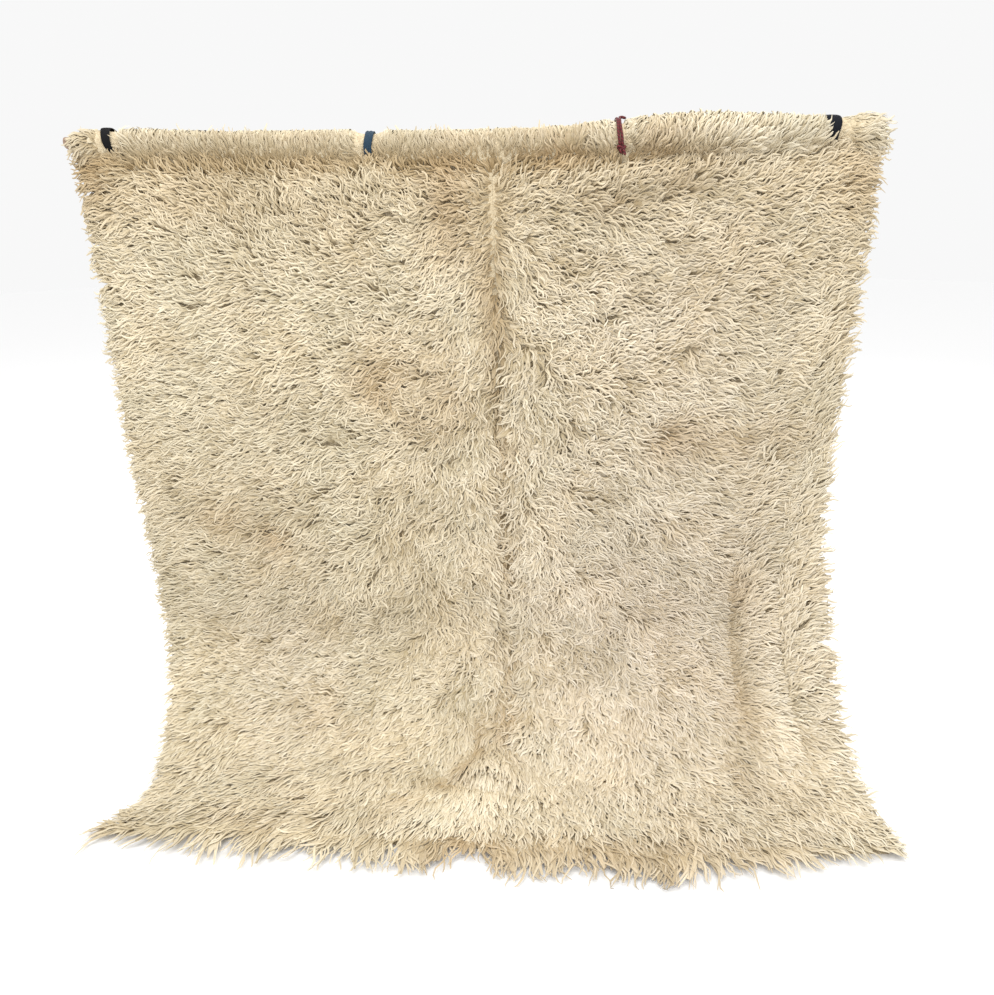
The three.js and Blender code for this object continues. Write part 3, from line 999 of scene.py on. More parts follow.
@dataclass(frozen=True)
class LockWool:
    """Long cream wool locks with fine fibres along them, darker towards their roots as painted shade between
    the locks.
    """

    # painted shade: the colour darkens from tip to root, where the locks shade each other
    root: Colour = (0.490, 0.392, 0.244)
    middle: Colour = (0.602, 0.518, 0.364)
    tip: Colour = (0.722, 0.650, 0.505)
    tones: Stops = ((0.0, (0.68, 0.635, 0.54)), (0.5, (0.96, 0.95, 0.93)), (1.0, (1.17, 1.18, 1.19)))
    strands: Stops = ((0.36, (0.88, 0.85, 0.78)), (0.56, (1.04, 1.04, 1.04)))
    drifts: Stops = ((0.34, (0.965, 0.970, 0.960)), (0.50, (1.0, 0.995, 0.985)),
                     (0.66, (1.025, 1.005, 0.975)))
    drift_scale: float = 6.5
    roundness: float = 0.8
    softness: float = 0.8  # how far the light follows the cloth and not the lock

    def material(self) -> Material:
        """Build the material, which reads the attributes stored on each lock.

        Returns:
            The material.
        """
        graph = ShaderGraph("lock_wool")

        def stored(name: str) -> Quantity:
            """A number stored on the locks."""
            return graph.take(graph.node("ShaderNodeAttribute", attribute_name=name), "Fac")

        along, around, tone = stored("along"), stored("around"), stored("tone")
        strand = graph.noise(graph.triple(around * 2.2 + along * 2.0, along * 4.0, tone * 40.0), 1.0, 2.0)
        # painted shade towards the roots
        colour = graph.ramp(along, (0.0, self.root), (0.40, self.middle), (0.85, self.tip))
        colour = graph.tinted(colour, graph.ramp(tone, *self.tones))
        colour = graph.tinted(colour, graph.ramp(strand, *self.strands))
        drift = graph.noise(graph.place(), self.drift_scale, 2.0)
        colour = graph.tinted(colour, graph.ramp(drift, *self.drifts))
        for name, _, tint in WASHES:
            colour = graph.tinted(colour, tint, stored(name))
        bump = graph.node("ShaderNodeBump", {"Strength": 0.55, "Distance": 0.0014,
                                             "Height": 1 - around * around * self.roundness + strand * 0.4})
        facing = graph.node("ShaderNodeAttribute", attribute_name="facing")
        soft = graph.take(facing, "Vector", True) * self.softness
        soft = soft + graph.take(graph.node("ShaderNodeNewGeometry"), "Normal", True)
        graph.feed(graph.find(bump.inputs, "Normal"), soft.function("NORMALIZE"))
        return graph.dress(colour, Normal=graph.take(bump, "Normal", True), Roughness=0.88,
                           Specular_IOR_Level=0.25, Sheen_Weight=0.25, Sheen_Roughness=0.45,
                           Sheen_Tint=(1.0, 0.93, 0.78, 1))


@dataclass(frozen=True)
class WovenGround:
    """Plain weave of thick wool, seen on the back, with the rows of knots as low ribs."""

    thread: float = 0.0042
    knot_row: float = 0.014
    light: Colour = (0.640, 0.540, 0.370)
    dark: Colour = (0.330, 0.255, 0.150)
    aged: Stops = ((0.3, (0.84, 0.80, 0.74)), (0.7, (1.05, 1.04, 1.02)))

    def material(self) -> Material:
        """Build the material, which reads the cloth's own coordinates in metres.

        Returns:
            The material.
        """
        graph = ShaderGraph("woven_ground")
        uv, u, v = graph.cloth()
        warp = (u * (TURN / self.thread)).function("SINE")
        weft = (v * (TURN / self.thread)).function("SINE")
        rows = (v * (TURN / self.knot_row)).function("SINE")
        fuzz = graph.noise(uv, 55.0, 4.0)
        height = warp * weft * 0.35 + warp.function("ABSOLUTE") * 0.3 + rows * 0.35 + fuzz * 0.8
        woven = graph.ramp(height * 0.4 + 0.25, (0.1, self.dark), (0.8, self.light))
        colour = graph.tinted(woven, graph.ramp(graph.noise(uv, 5.0, 3.0), *self.aged))
        return graph.dress(colour, (0.8, 0.0016, height), Roughness=0.93, Specular_IOR_Level=0.2,
                           Sheen_Weight=0.2)


@dataclass(frozen=True)
class FeltedWool:
    """Short wool fibres with no weave."""

    name: str
    light: Colour
    dark: Colour
    stops: tuple[float, float]
    tuft: tuple[float, float, float]  # scale, detail and swirl of the noise
    relief: tuple[float, float]
    roughness: float

    def material(self) -> Material:
        """Build the material from felted noise.

        Returns:
            The material.
        """
        graph = ShaderGraph(self.name)
        tuft = graph.noise(graph.place(), *self.tuft)
        colour = graph.ramp(tuft, (self.stops[0], self.dark), (self.stops[1], self.light))
        return graph.dress(colour, (*self.relief, tuft), Roughness=self.roughness)


UNDERCOAT = FeltedWool("undercoat", (0.670, 0.570, 0.395), (0.530, 0.425, 0.270), (0.35, 0.68),
                       (140.0, 5.0, 1.2), (1.0, 0.004), 0.95)
SEAM_YARN = FeltedWool("seam_yarn", (0.74, 0.65, 0.47), (0.45, 0.36, 0.23), (0.35, 0.65),
                       (700.0, 3.0, 0.0), (0.6, 0.0005), 0.9)


@dataclass(frozen=True)
class PoleWood:
    """Weathered pinkish brown wood with grain along the pole."""

    light: Colour = (0.420, 0.300, 0.220)
    dark: Colour = (0.180, 0.115, 0.080)
    stretch: float = 0.09  # share that is left of the grain's fineness along the pole

    def material(self) -> Material:
        """Build the material from grain stretched along X.

        Returns:
            The material.
        """
        graph = ShaderGraph("pole_wood")
        scaled = {"Vector": graph.place(), "Scale": (self.stretch, 1.0, 1.0)}
        place = graph.output(graph.node("ShaderNodeMapping", scaled), "Vector")
        fine = graph.noise(place, 420.0, 6.0, 0.6)
        streak = fine * 0.6 + graph.noise(place, 60.0, 3.0) * 0.4
        colour = graph.ramp(streak, (0.34, self.dark), (0.62, self.light))
        return graph.dress(colour, (0.5, 0.0008, fine), Roughness=0.72)


@dataclass(frozen=True)
class RibbedCloth:
    """Narrow woven band: ribs across its length, fine threads along it and a little wear."""

    name: str
    light: Colour
    dark: Colour
    rib: float
    roughness: float
    sheen: float
    thread_share: float = 1.3  # width of a thread against a rib

    def material(self) -> Material:
        """Build the material, which reads the band's coordinates in metres: along, then across.

        Returns:
            The material.
        """
        graph = ShaderGraph(self.name)
        uv, along, across = graph.cloth()
        ribs = (along * (TURN / self.rib)).function("SINE")
        threads = (across * (TURN / (self.rib * self.thread_share)) + ribs * 0.6).function("SINE")
        height = ribs * 0.35 + threads * 0.35 + graph.noise(uv, 160.0, 4.0) * 0.7
        colour = graph.ramp(height * 0.45 + 0.3, (0.2, self.dark), (0.85, self.light))
        return graph.dress(colour, (0.6, 0.0007, height), Roughness=self.roughness, Specular_IOR_Level=0.15,
                           Sheen_Weight=self.sheen)


BLACK_WEBBING = RibbedCloth("black_webbing", (0.009, 0.009, 0.011), (0.002, 0.002, 0.002), 0.0022, 0.75, 0.0)
NAVY_WEBBING = RibbedCloth("navy_webbing", (0.008, 0.011, 0.018), (0.002, 0.002, 0.004), 0.0024, 0.75, 0.0)
BLUE_COTTON = RibbedCloth("blue_cotton", (0.040, 0.078, 0.115), (0.010, 0.022, 0.040), 0.0016, 0.90, 0.1)


@dataclass(frozen=True)
class TwistedCord:
    """Dark red two-ply cord with its twist as slanting grooves."""

    light: Colour = (0.150, 0.006, 0.010)
    dark: Colour = (0.030, 0.002, 0.003)
    pitch: float = 0.0075

    def material(self) -> Material:
        """Build the material, which reads the cord's coordinates: metres along, then turns round.

        Returns:
            The material.
        """
        graph = ShaderGraph("red_cord")
        uv, along, around = graph.cloth()
        ply = (along * (TURN / self.pitch) + around * (2 * TURN)).function("SINE")
        height = ply * 0.4 + graph.noise(uv, 900.0, 3.0) * 0.6
        colour = graph.ramp(height * 0.6 + 0.3, (0.15, self.dark), (0.8, self.light))
        return graph.dress(colour, (0.8, 0.0009, height), Roughness=0.7, Sheen_Weight=0.05)


# ---- Meshes ----


def link(name: str, data: "bpy.types.ID") -> Object:
    """Put a new object of some data into the scene."""
    obj = bpy.data.objects.new(name, data)
    bpy.context.scene.collection.objects.link(obj)
    return obj


def store(obj: Object, name: str, values: Array, vector: bool = False) -> None:
    """Store a number or a vector on each point of a mesh."""
    layer = obj.data.attributes.new(name, "FLOAT_VECTOR" if vector else "FLOAT", "POINT")
    layer.data.foreach_set("vector" if vector else "value", values.astype(np.float32).ravel())


def add_object(name: str, vertices: Array, faces: Sequence[Sequence[int]],
               materials: Sequence[Material]) -> Object:
    """Make a smooth mesh object at the origin.

    Args:
        name: The object's name.
        vertices: Rows of x, y, z.
        faces: Vertex numbers of each face.
        materials: The object's materials.

    Returns:
        The object, linked to the scene.
    """
    mesh = bpy.data.meshes.new(name)
    mesh.from_pydata([tuple(v) for v in np.asarray(vertices, float)], [], [tuple(f) for f in faces])
    mesh.polygons.foreach_set("use_smooth", [True] * len(mesh.polygons))
    for one in materials:
        mesh.materials.append(one)
    return link(name, mesh)


def set_uv(obj: Object, places: Array) -> None:
    """Store cloth coordinates, one pair for each corner of each face, as the UV map."""
    layer = obj.data.uv_layers.new(name="cloth")
    layer.data.foreach_set("uv", np.asarray(places, np.float32).ravel())


def baked(obj: Object, name: str) -> Object:
    """Turn an object's evaluated shape into a plain mesh object and remove the first one.

    Args:
        obj: The object with its modifiers.
        name: The new object's name.

    Returns:
        The new object, at the origin.
    """
    depsgraph = bpy.context.evaluated_depsgraph_get()
    mesh = bpy.data.meshes.new_from_object(obj.evaluated_get(depsgraph), preserve_all_data_layers=True,
                                           depsgraph=depsgraph)
    mesh.name = name
    bpy.data.objects.remove(obj)
    return link(name, mesh)


def triangles(obj: Object) -> int:
    """Number of triangles of a mesh object."""
    return sum(len(face.vertices) - 2 for face in obj.data.polygons)


# ---- The pile ----


@dataclass(frozen=True)
class LockKind:
    """Sizes of one kind of wool lock and how thickly it grows."""

    name: str
    per_square_metre: float
    points: int
    half_width: float
    rise: float  # share of the pile's depth
    length: float  # share of the local lock length
    crimp: float  # wave, as a share of its length
    tone: float  # added to its lightness
    seed: int


TOP_LOCKS = LockKind("top", 13000.0, 8, 0.0022, 1.0, 1.0, 0.082, 0.0, 11)
# the under locks are a little darker: painted shade deep in the pile
UNDER_LOCKS = LockKind("under", 5200.0, 3, 0.0062, 0.80, 0.80, 0.020, -0.12, 23)


class LockTree(PieceTree):
    """Grows curly wool locks on a scalp with stored directions."""

    STEP = 0.04  # share of a lock over which its direction is taken
    FRONT = -0.651  # furthest place of a tip towards the front
    FLOOR_ROOM = 0.002
    TUFTS = 1100.0  # per square metre
    GATHER = 0.28  # how far tips gather round the middle of their tuft
    FALL = 0.10  # how far tips drop under their own weight, as a share of their length
    SPENT = ("root", "out", "comb", "way", "guide", "size", "curl", "height", "lock_length", "crowd",
             "unruly", "loose", "bright", "sag", "breadth", "circle", "vary")

    def __init__(self, material: Material, points: int) -> None:
        """Build the tree.

        Args:
            material: Finish of the locks.
            points: Points along each lock.
        """
        numbers = ("Locks per m2", "Half Width", "Rise", "Length", "Crimp", "Tone", "Floor", "Front")
        super().__init__(f"wool_locks_{points}", numbers, ("Seed",))
        self._grow(material, points)

    def _store(self, geometry: NodeSocket, name: str, value: Quantity) -> NodeSocket:
        """Write an attribute on the points and return the geometry."""
        return self.step("GeometryNodeStoreNamedAttribute", geometry, {"Name": name, "Value": value},
                         data_type="FLOAT_VECTOR" if value.vector else "FLOAT", domain="POINT")

    def _ways(self, *names: str) -> list[Quantity]:
        """Read several vectors."""
        return [self.stored(name, "FLOAT_VECTOR") for name in names]

    def _odd(self, seed: int) -> Quantity:
        """A random number from -0.5 to 0.5 for each point."""
        return self.chance(-0.5, 0.5, seed)

    def _drift(self, place: Quantity, scale: float, shift: float = 0.0) -> Quantity:
        """Smooth noise from about -0.5 to 0.5 at a place."""
        return (self.noise(place + shift, scale, 1.0) - 0.5) * 2.0

    def _guides(self, position: Quantity) -> Quantity:
        """Find the middle of each root's tuft.

        Args:
            position: Places of the roots.

        Returns:
            The nearest of the sparse points round which the locks gather.
        """
        guides = self.step("GeometryNodeDistributePointsOnFaces", self.output(self.group, "Geometry"),
                           {"Density": self.TUFTS, "Seed": 5}, distribute_method="RANDOM")
        nearest = self.step("GeometryNodeSampleNearest", guides, domain="POINT")
        found = self.step("GeometryNodeSampleIndex", guides, {"Index": nearest, "Value": position},
                          data_type="FLOAT_VECTOR", domain="POINT")
        return Quantity(self, found, True)

    def _roots(self) -> NodeSocket:
        """Scatter the roots and store the shape of each lock on them.

        Returns:
            The points.
        """
        points = self.step("GeometryNodeDistributePointsOnFaces", self.output(self.group, "Geometry"),
                           {"Density": self.size("Locks per m2") * self.stored("crowd"),
                            "Seed": self.output(self.group, "Seed")}, distribute_method="RANDOM")
        position = self.take(self.node("GeometryNodeInputPosition"), 0, True)
        points = self._store(points, "guide", self._guides(position))
        guide, comb, out = self._ways("guide", "comb", "out")
        unruly, loose = self.stored("unruly"), self.stored("loose")
        length = self.stored("lock_length") * self.size("Length")
        length = length * (self._odd(3) * self.stored("vary") + 1.0)
        rise = self.stored("height") * self.size("Rise") * (self._odd(4) * 0.34 + 0.88)
        rise = rise.function("MINIMUM", length * 0.8)
        width = self.size("Half Width") * self.stored("breadth") * (self._odd(5) * 0.7 + 1.0)
        points = self._store(points, "size", self.triple(length, rise, width))
        swirl = self._drift(position, 7.0) * 0.7 + self._drift(guide, 19.0) * 1.5
        angle = swirl * unruly * 1.5 + self._odd(6) * (unruly * 0.8 + 0.4)
        turn = self.node("ShaderNodeVectorRotate", {"Vector": comb, "Center": (0, 0, 0), "Axis": out,
                                                    "Angle": angle}, rotation_type="AXIS_ANGLE")
        points = self._store(points, "way", self.take(turn, "Vector", True))
        phase = self._drift(guide, 35.0, 3.1) * 9.0 + self._odd(7) * 2.2
        bend = (self._drift(guide, 24.0, 7.7) * 0.8 + self._odd(8) * 0.55) * (loose * 0.8 + 0.2)
        speed = self._odd(9) * 4.5 + loose * 1.2 + 8.2
        points = self._store(points, "curl", self.triple(phase, speed, bend))
        points = self._store(points, "root", position)
        tone = self._drift(position, 9.0, 1.3) * 0.35 + self._drift(guide, 40.0, 5.9) * 0.3
        tone = (tone + self._odd(10) * 0.5) * (loose * 0.7 + 0.3)
        # painted light lifts the tone of the locks where its table lays it
        return self._store(points, "tone", tone + 0.5 + self.size("Tone") + self.stored("bright") * 0.8)

    def _path(self, t: Quantity) -> Quantity:
        """Trace a lock: it rises, bends over round the pole, waves and hangs.

        Args:
            t: Share of its length.

        Returns:
            The place there.
        """
        root, out, way, guide, size, curl = self._ways("root", "out", "way", "guide", "size", "curl")
        length, rise, _ = self.split(size)
        phase, speed, bend = self.split(curl)
        side = self.operate("CROSS_PRODUCT", True, out, way)
        reach = (length * length - rise * rise).function("SQRT")
        swing = (t * 0.6 + 0.4) * length * self.size("Crimp") * (self.stored("loose") * 0.7 + 0.3)
        wave = (t * speed + phase).function("SINE") * swing + bend * t * t * reach
        bob = (t * (speed * 0.8) + phase).function("COSINE") * swing * t * 0.55
        lift = rise * (1 - (1 - t) ** 3) * (1 - t * t * self.stored("sag")) + bob
        run = reach * (t * 0.72 + t * t * 0.28) * (1 - bend * bend * 0.35)
        circle = self.stored("circle")
        turn = run * circle ** -1.0
        ahead = turn.function("SINE") * (circle + lift)
        lift = turn.function("COSINE") * (circle + lift) - circle
        place = root + out * lift + way * ahead + side * wave + (guide - root) * (t ** 1.4 * self.GATHER)
        x, y, z = self.split(place)
        z = (z - t * t * length * self.FALL).function("MAXIMUM", self.size("Floor") + self.FLOOR_ROOM)
        return self.triple(x, y.function("MAXIMUM", self.size("Front")), z)

    def _grow(self, material: Material, points: int) -> None:
        """Add the nodes from the scalp to the finished locks.

        Args:
            material: Finish of the locks.
            points: Points along each lock.
        """
        strip = self.node("GeometryNodeMeshGrid", {"Size X": 2.0, "Size Y": 1.0, "Vertices X": 2,
                                                   "Vertices Y": points})
        flat = self.split(self.take(self.node("GeometryNodeInputPosition"), 0, True))
        lock = self._store(self.output(strip, "Mesh"), "around", flat[0])
        lock = self._store(lock, "along", 1 - (0.5 - flat[1]) ** 1.35)
        placed = self.step("GeometryNodeInstanceOnPoints", self._roots(), {"Instance": lock})
        real = self.step("GeometryNodeRealizeInstances", placed)
        t = self.stored("along")
        here, ahead = self._path(t), self._path(t + self.STEP)
        tangent = (ahead - here).function("NORMALIZE")
        out, way, size = self._ways("out", "way", "size")
        side = self.operate("CROSS_PRODUCT", True, out, way)
        square = (side - tangent * side.function("DOT_PRODUCT", tangent)).function("NORMALIZE")
        taper = (1 - t ** 7 * 0.66) * (t * 0.5 + 0.7)
        width = self.split(size)[2] * taper * self.stored("around")
        geometry = self.step("GeometryNodeSetPosition", real, {"Position": here - square * width})
        for name in self.SPENT:
            geometry = self.step("GeometryNodeRemoveAttribute", geometry, {"Name": name})
        self.finish(geometry, material)

    def grow_on(self, scalp: Object, kind: LockKind, floor: float, seed: int) -> None:
        """Add the tree to a scalp as a modifier.

        Args:
            scalp: Mesh that carries the pile's attributes.
            kind: Sizes of the locks.
            floor: Height of the floor.
            seed: Seed of the scatter.
        """
        self.put_on(scalp, {"Locks per m2": kind.per_square_metre, "Half Width": kind.half_width,
                            "Rise": kind.rise, "Length": kind.length, "Crimp": kind.crimp,
                            "Tone": kind.tone, "Floor": floor, "Front": self.FRONT, "Seed": seed})


@dataclass(frozen=True)
class Notch:
    """A parting in the front pile or, with a negative cut, a longer tuft."""

    across: float
    width: float
    cut: float


LONG_CORNER = Notch(-0.905, 0.050, -0.75)
NOTCHES = rows_of(
    Notch,
    (-0.105, 0.010, 0.35),
    (-0.038, 0.017, 1.00),
    (0.245, 0.012, 0.40),
)


@dataclass(frozen=True)
class Zone:
    """A soft band of the cloth round a middle, in one direction."""

    middle: float
    width: float
    power: int = 2

    def share(self, places: Array) -> Array:
        """1 at the middle, falling to 0 beside it."""
        return np.exp(-((places - self.middle) / self.width) ** self.power)


@dataclass(frozen=True)
class Rise:
    """A stretch over which a share goes from 0 to 1."""

    start: float
    run: float

    def share(self, places: Array) -> Array:
        """0 before the stretch and 1 past it."""
        return np.clip((places - self.start) / self.run, 0, 1)


@dataclass(frozen=True)
class PileSizes:
    """How long, dense and tidy the locks are over the rug."""

    hanging: float = 0.057
    top: float = 0.045  # just below the roll
    lengthening: Rise = Rise(0.0, 0.8)
    front: float = 0.150
    front_growth: Rise = Rise(1.930, 0.1)
    front_loosening: Rise = Rise(1.96, 0.08)
    roll_least: float = 0.030
    roll_growth: float = 0.7  # per metre of depth
    round_pole: Zone = Zone(0.0, 0.045)
    on_roll: Zone = Zone(0.010, 0.040)
    risen: Zone = Zone(0.50, 0.22)  # where the roll's pile stands up
    risen_height: float = 0.55
    bed_share: float = 0.48
    matted_share: float = 0.80
    bed_edge: float = 0.030
    bed_end: float = 0.050
    bed_parting: tuple[float, float] = (0.7, 0.020)  # share left at the seam and width
    tail_reach: float = 0.125
    tail: float = -0.030
    tail_crowd: float = 0.6
    root_sink: float = 0.001
    felt_lift: float = 0.0002
    fold_lift: float = 6.0  # per metre of fold
    side_fade: float = 0.035
    left_loss: float = 0.06
    right_loss: float = -0.08
    tie_room: float = 0.0015
    tie_fade: float = 0.002
    tie_length: float = 0.016
    tie_short: tuple[float, float] = (0.003, 0.010)  # room and fade of the short locks
    tie_down: float = 0.056
    middle: Zone = Zone(0.10, 0.42)  # the unruly part
    calming: Rise = Rise(1.50, 0.25)
    waking: Rise = Rise(0.25, 0.25)
    top_calm: float = 0.7
    hug: Zone = Zone(0.0, 0.044, 4)  # locks bend round the pole
    hug_bend: float = 46.0  # per metre
    hug_least: float = 0.05
    lit_by_lock: Zone = Zone(0.0, 0.070, 4)  # where light follows the locks and not the cloth
    lit_by_lock_most: float = 0.9
    usual_crowd: float = 0.92
    roll_crowd: float = 0.5
    high_crowd: float = 0.30
    side_crowd: float = 0.4
    matted_crowd: float = 0.35
    sag: tuple[float, float] = (0.15, 0.55)  # everywhere, and more at the side edges
    unruly: tuple[float, float] = (0.38, 0.80)  # everywhere, and more in the middle
    loose: tuple[float, float] = (0.35, 1.6)  # more in the middle, and more at the front
    breadth: tuple[float, float] = (0.86, 1.06)  # of the locks, high on the rug and low
    broadening: Rise = Rise(0.10, 1.1)
    front_narrowing: float = 0.16
    vary: tuple[float, float] = (0.55, 0.3)  # unlike lengths everywhere, and less at the front

    def beside(self, edge: float, across: Array) -> Array:
        """1 at a side edge of the rug, falling to 0 inside it."""
        return np.exp(-((across - edge) / self.side_fade) ** 2)

    def beside_ties(self, patch: ClothPatch, room: float, fade: float) -> Array:
        """Find where a tie presses on the pile.

        Args:
            patch: The cloth.
            room: Width that is kept clear beside a tie.
            fade: Width over which the share falls.

        Returns:
            1 under a tie and beside it, falling to 0.
        """
        cover = np.zeros(patch.across.shape)
        for tie in TIES:
            clear = np.abs(patch.across - tie.across) - tie.width / 2 - room
            cover = np.maximum(cover, 1 - np.clip(clear / fade, 0, 1))
        return cover * (np.abs(patch.down) < self.tie_down)

    def bed(self, patch: ClothPatch) -> Array:
        """Find the depth of the matted wool under the loose locks.

        Args:
            patch: The cloth.

        Returns:
            The depth.
        """
        side = np.minimum(patch.across - patch.across.min(), patch.across.max() - patch.across)
        outer = np.minimum(patch.across - LEFT_EDGE, RIGHT_EDGE - patch.across)
        end = patch.down + self.tail_reach
        inside = np.clip(np.minimum(outer / self.bed_edge, end / self.bed_end), 0, 1)
        least, width = self.bed_parting
        parted = least + (1 - least) * np.clip(side / width, 0, 1)
        share = mix(self.bed_share, self.matted_share, total_cover(MATTED, patch.across, patch.down))
        return share * patch.depth * inside * parted

    def crowd(self, patch: ClothPatch) -> Array:
        """Find how thickly the locks grow.

        Args:
            patch: The cloth.

        Returns:
            The density as a share of the usual.
        """
        high = np.clip(1 - patch.down, 0, 1)
        sides = self.beside(LEFT_EDGE, patch.across) + self.beside(RIGHT_EDGE, patch.across)
        crowd = self.usual_crowd + self.roll_crowd * self.on_roll.share(patch.down)
        crowd = crowd + self.high_crowd * high + self.side_crowd * sides
        crowd = crowd + self.matted_crowd * total_cover(MATTED, patch.across, patch.down)
        crowd = np.where(patch.down < self.tail, self.tail_crowd, crowd)
        return crowd * (1 - self.beside_ties(patch, self.tie_room, self.tie_fade))

    def lock_length(self, patch: ClothPatch) -> Array:
        """Find the length of the locks.

        Args:
            patch: The cloth.

        Returns:
            The length in metres.
        """
        length = mix(self.top, self.hanging, self.lengthening.share(patch.down))
        pole = self.round_pole.share(patch.down)
        short = np.minimum(self.hanging, self.roll_least + patch.depth * self.roll_growth)
        length = length * (1 - pole) + short * pole
        sides = self.left_loss * self.beside(LEFT_EDGE, patch.across)
        sides += self.right_loss * self.beside(RIGHT_EDGE, patch.across)
        length = length * (1 - sides * (patch.lying == 0))
        on_front = self.front_growth.share(patch.down)
        length = length + (self.front - self.hanging) * on_front
        for notch in (LONG_CORNER, *NOTCHES):
            length = length * (1 - notch.cut * Zone(notch.across, notch.width).share(patch.across) * on_front)
        tied = self.beside_ties(patch, *self.tie_short)
        return length * (1 - tied) + self.tie_length * tied

    def habits(self, patch: ClothPatch, up_share: Array) -> dict[str, Array]:
        """Gather the numbers that the locks read from the cloth.

        Args:
            patch: The cloth.
            up_share: How far the comb points up the cloth, from -1 to 1.

        Returns:
            The numbers by attribute name.
        """
        across, down = patch.across, patch.down
        calm, middle = total_cover(CALM, across, down), self.middle.share(across)
        loosening = self.front_loosening.share(down)
        wild = 1 - self.calming.share(down) - self.top_calm * (1 - self.waking.share(down))
        risen = 1 + self.risen_height * self.risen.share(across) * self.on_roll.share(down)
        sides = self.beside(LEFT_EDGE, across) + self.beside(RIGHT_EDGE, across)
        hug = self.hug_bend * self.hug.share(down) * up_share ** 2
        return {
            "height": patch.depth * (1 + patch.fold * self.fold_lift) * risen - self.bed(patch),
            "lock_length": self.lock_length(patch),
            "crowd": self.crowd(patch),
            "sag": self.sag[0] + self.sag[1] * sides,
            "unruly": (self.unruly[0] + self.unruly[1] * middle * wild) * (1 - calm),
            "loose": (1 - calm) * (1 + self.loose[0] * middle * wild) + self.loose[1] * loosening,
            "bright": total_cover(PAINTED_LIGHT, across, down),
            "breadth": mix(*self.breadth, self.broadening.share(down)) - self.front_narrowing * loosening,
            "circle": 1 / (self.hug_least + hug),
            "vary": self.vary[0] - self.vary[1] * self.front_growth.share(down),
            **{name: total_cover(patches, across, down) for name, patches, _ in WASHES},
        }


def tie_parting(patch: ClothPatch) -> Array:
    """Find how far the comb turns away from the ties on the roll.

    Args:
        patch: The cloth.

    Returns:
        Push of the comb to the right.
    """
    top, strength, reach = 0.004, 2.2, 0.020
    push = np.zeros(patch.across.shape)
    for tie in TIES:
        offset = patch.across - tie.across - tie.lean * (top - patch.down)
        push += np.sign(offset) * strength * np.exp(-((np.abs(offset) - tie.width / 2) / reach) ** 2)
    return push * Zone(0.010, 0.050, 4).share(patch.down)


def front_parting(across: Array, down: Array) -> Array:
    """Find how the comb turns at the notches in the front pile.

    Args:
        across: Places along the pole.
        down: Lengths of cloth below its top.

    Returns:
        The turn in radians.
    """
    strength, reach = 1.2, 1.6
    on_front = Rise(1.90, 0.08).share(down)
    turn = np.zeros(across.shape)
    for notch in NOTCHES:
        offset = (across - notch.across) / (notch.width * reach)
        turn += strength * notch.cut * offset * np.exp(0.5 - offset ** 2) * on_front
    return turn


@dataclass
class Pile:
    """The wool locks of one panel."""

    side: str
    patch: ClothPatch
    drape: Drape
    sizes: PileSizes
    seed: int
    felt: Material  # finish of the matted wool under the locks
    bands: int = 3

    @staticmethod
    def _sheet(name: str, part: ClothPatch, out: Array,
               materials: Sequence[Material] = ()) -> Object:
        """Lay a mesh over the cloth.

        Args:
            name: The mesh's name.
            part: The cloth.
            out: Height above its back.
            materials: The finishes.

        Returns:
            The mesh.
        """
        columns, rows = part.across.shape
        faces = [(c * rows + r, c * rows + r + 1, (c + 1) * rows + r + 1, (c + 1) * rows + r)
                 for c in range(columns - 1) for r in range(rows - 1)]
        return add_object(name, (part.back + part.out * out[..., None]).reshape(-1, 3), faces, materials)

    def _scalp(self, part: ClothPatch) -> Object:
        """Lay the mesh from which the locks grow, with their directions and sizes on it.

        Args:
            part: The cloth.

        Returns:
            The mesh.
        """
        scalp = self._sheet("scalp", part, self.drape.ground + self.sizes.bed(part) - self.sizes.root_sink)
        right, up = comb_ways(part.across, part.down)
        turn = front_parting(part.across, part.down)
        right, up = (right * np.cos(turn) - up * np.sin(turn), right * np.sin(turn) + up * np.cos(turn))
        right = right + tie_parting(part)
        comb = part.along * right[..., None] + part.up * up[..., None]
        comb -= part.out * (comb * part.out).sum(-1, keepdims=True)
        for name, values in self.sizes.habits(part, unit(np.stack([right, up], -1))[..., 1]).items():
            store(scalp, name, values)
        by_lock = self.sizes.lit_by_lock_most * self.sizes.lit_by_lock.share(part.down)
        facing = part.out * (1 - by_lock)[..., None]
        for name, vectors in (("out", part.out), ("facing", facing), ("comb", unit(comb))):
            store(scalp, name, vectors, True)
        return scalp

    def build(self, trees: dict[str, LockTree]) -> list[Object]:
        """Grow the locks in bands down the panel.

        Args:
            trees: The tree of each kind of lock, by the kind's name.

        Returns:
            One object for each band.
        """
        last = self.patch.across.shape[1] - 1
        middle = self.patch.down[self.patch.across.shape[0] // 2]
        cuts = [0, *(int(np.searchsorted(middle, mix(middle[0], middle[-1], (k + 1) / self.bands)))
                     for k in range(self.bands - 1)), last]
        made = []
        for band, (first, end) in enumerate(zip(cuts, cuts[1:])):
            part = self.patch.rows(first, end)
            grown = []
            for kind in (TOP_LOCKS, UNDER_LOCKS):
                scalp = self._scalp(part)
                trees[kind.name].grow_on(scalp, kind, self.drape.floor, self.seed + kind.seed + band)
                grown.append(baked(scalp, f"locks_{kind.name}"))
            felt_height = self.drape.ground + self.sizes.bed(part) + self.sizes.felt_lift
            grown.append(self._sheet("felt", part, felt_height, [self.felt]))
            made.append(joined(f"pile_{self.side}_{band + 1}", grown))
        return made


def joined(name: str, parts: Sequence[Object]) -> Object:
    """Join mesh objects into the first and rename it.

    Args:
        name: The new name.
        parts: The objects.

    Returns:
        The joined object.
    """
    with bpy.context.temp_override(active_object=parts[0], selected_editable_objects=list(parts),
                                   selected_objects=list(parts), object=parts[0]):
        bpy.ops.object.join()
    parts[0].name = name
    parts[0].data.name = name
    return parts[0]


# ---- The woven ground ----


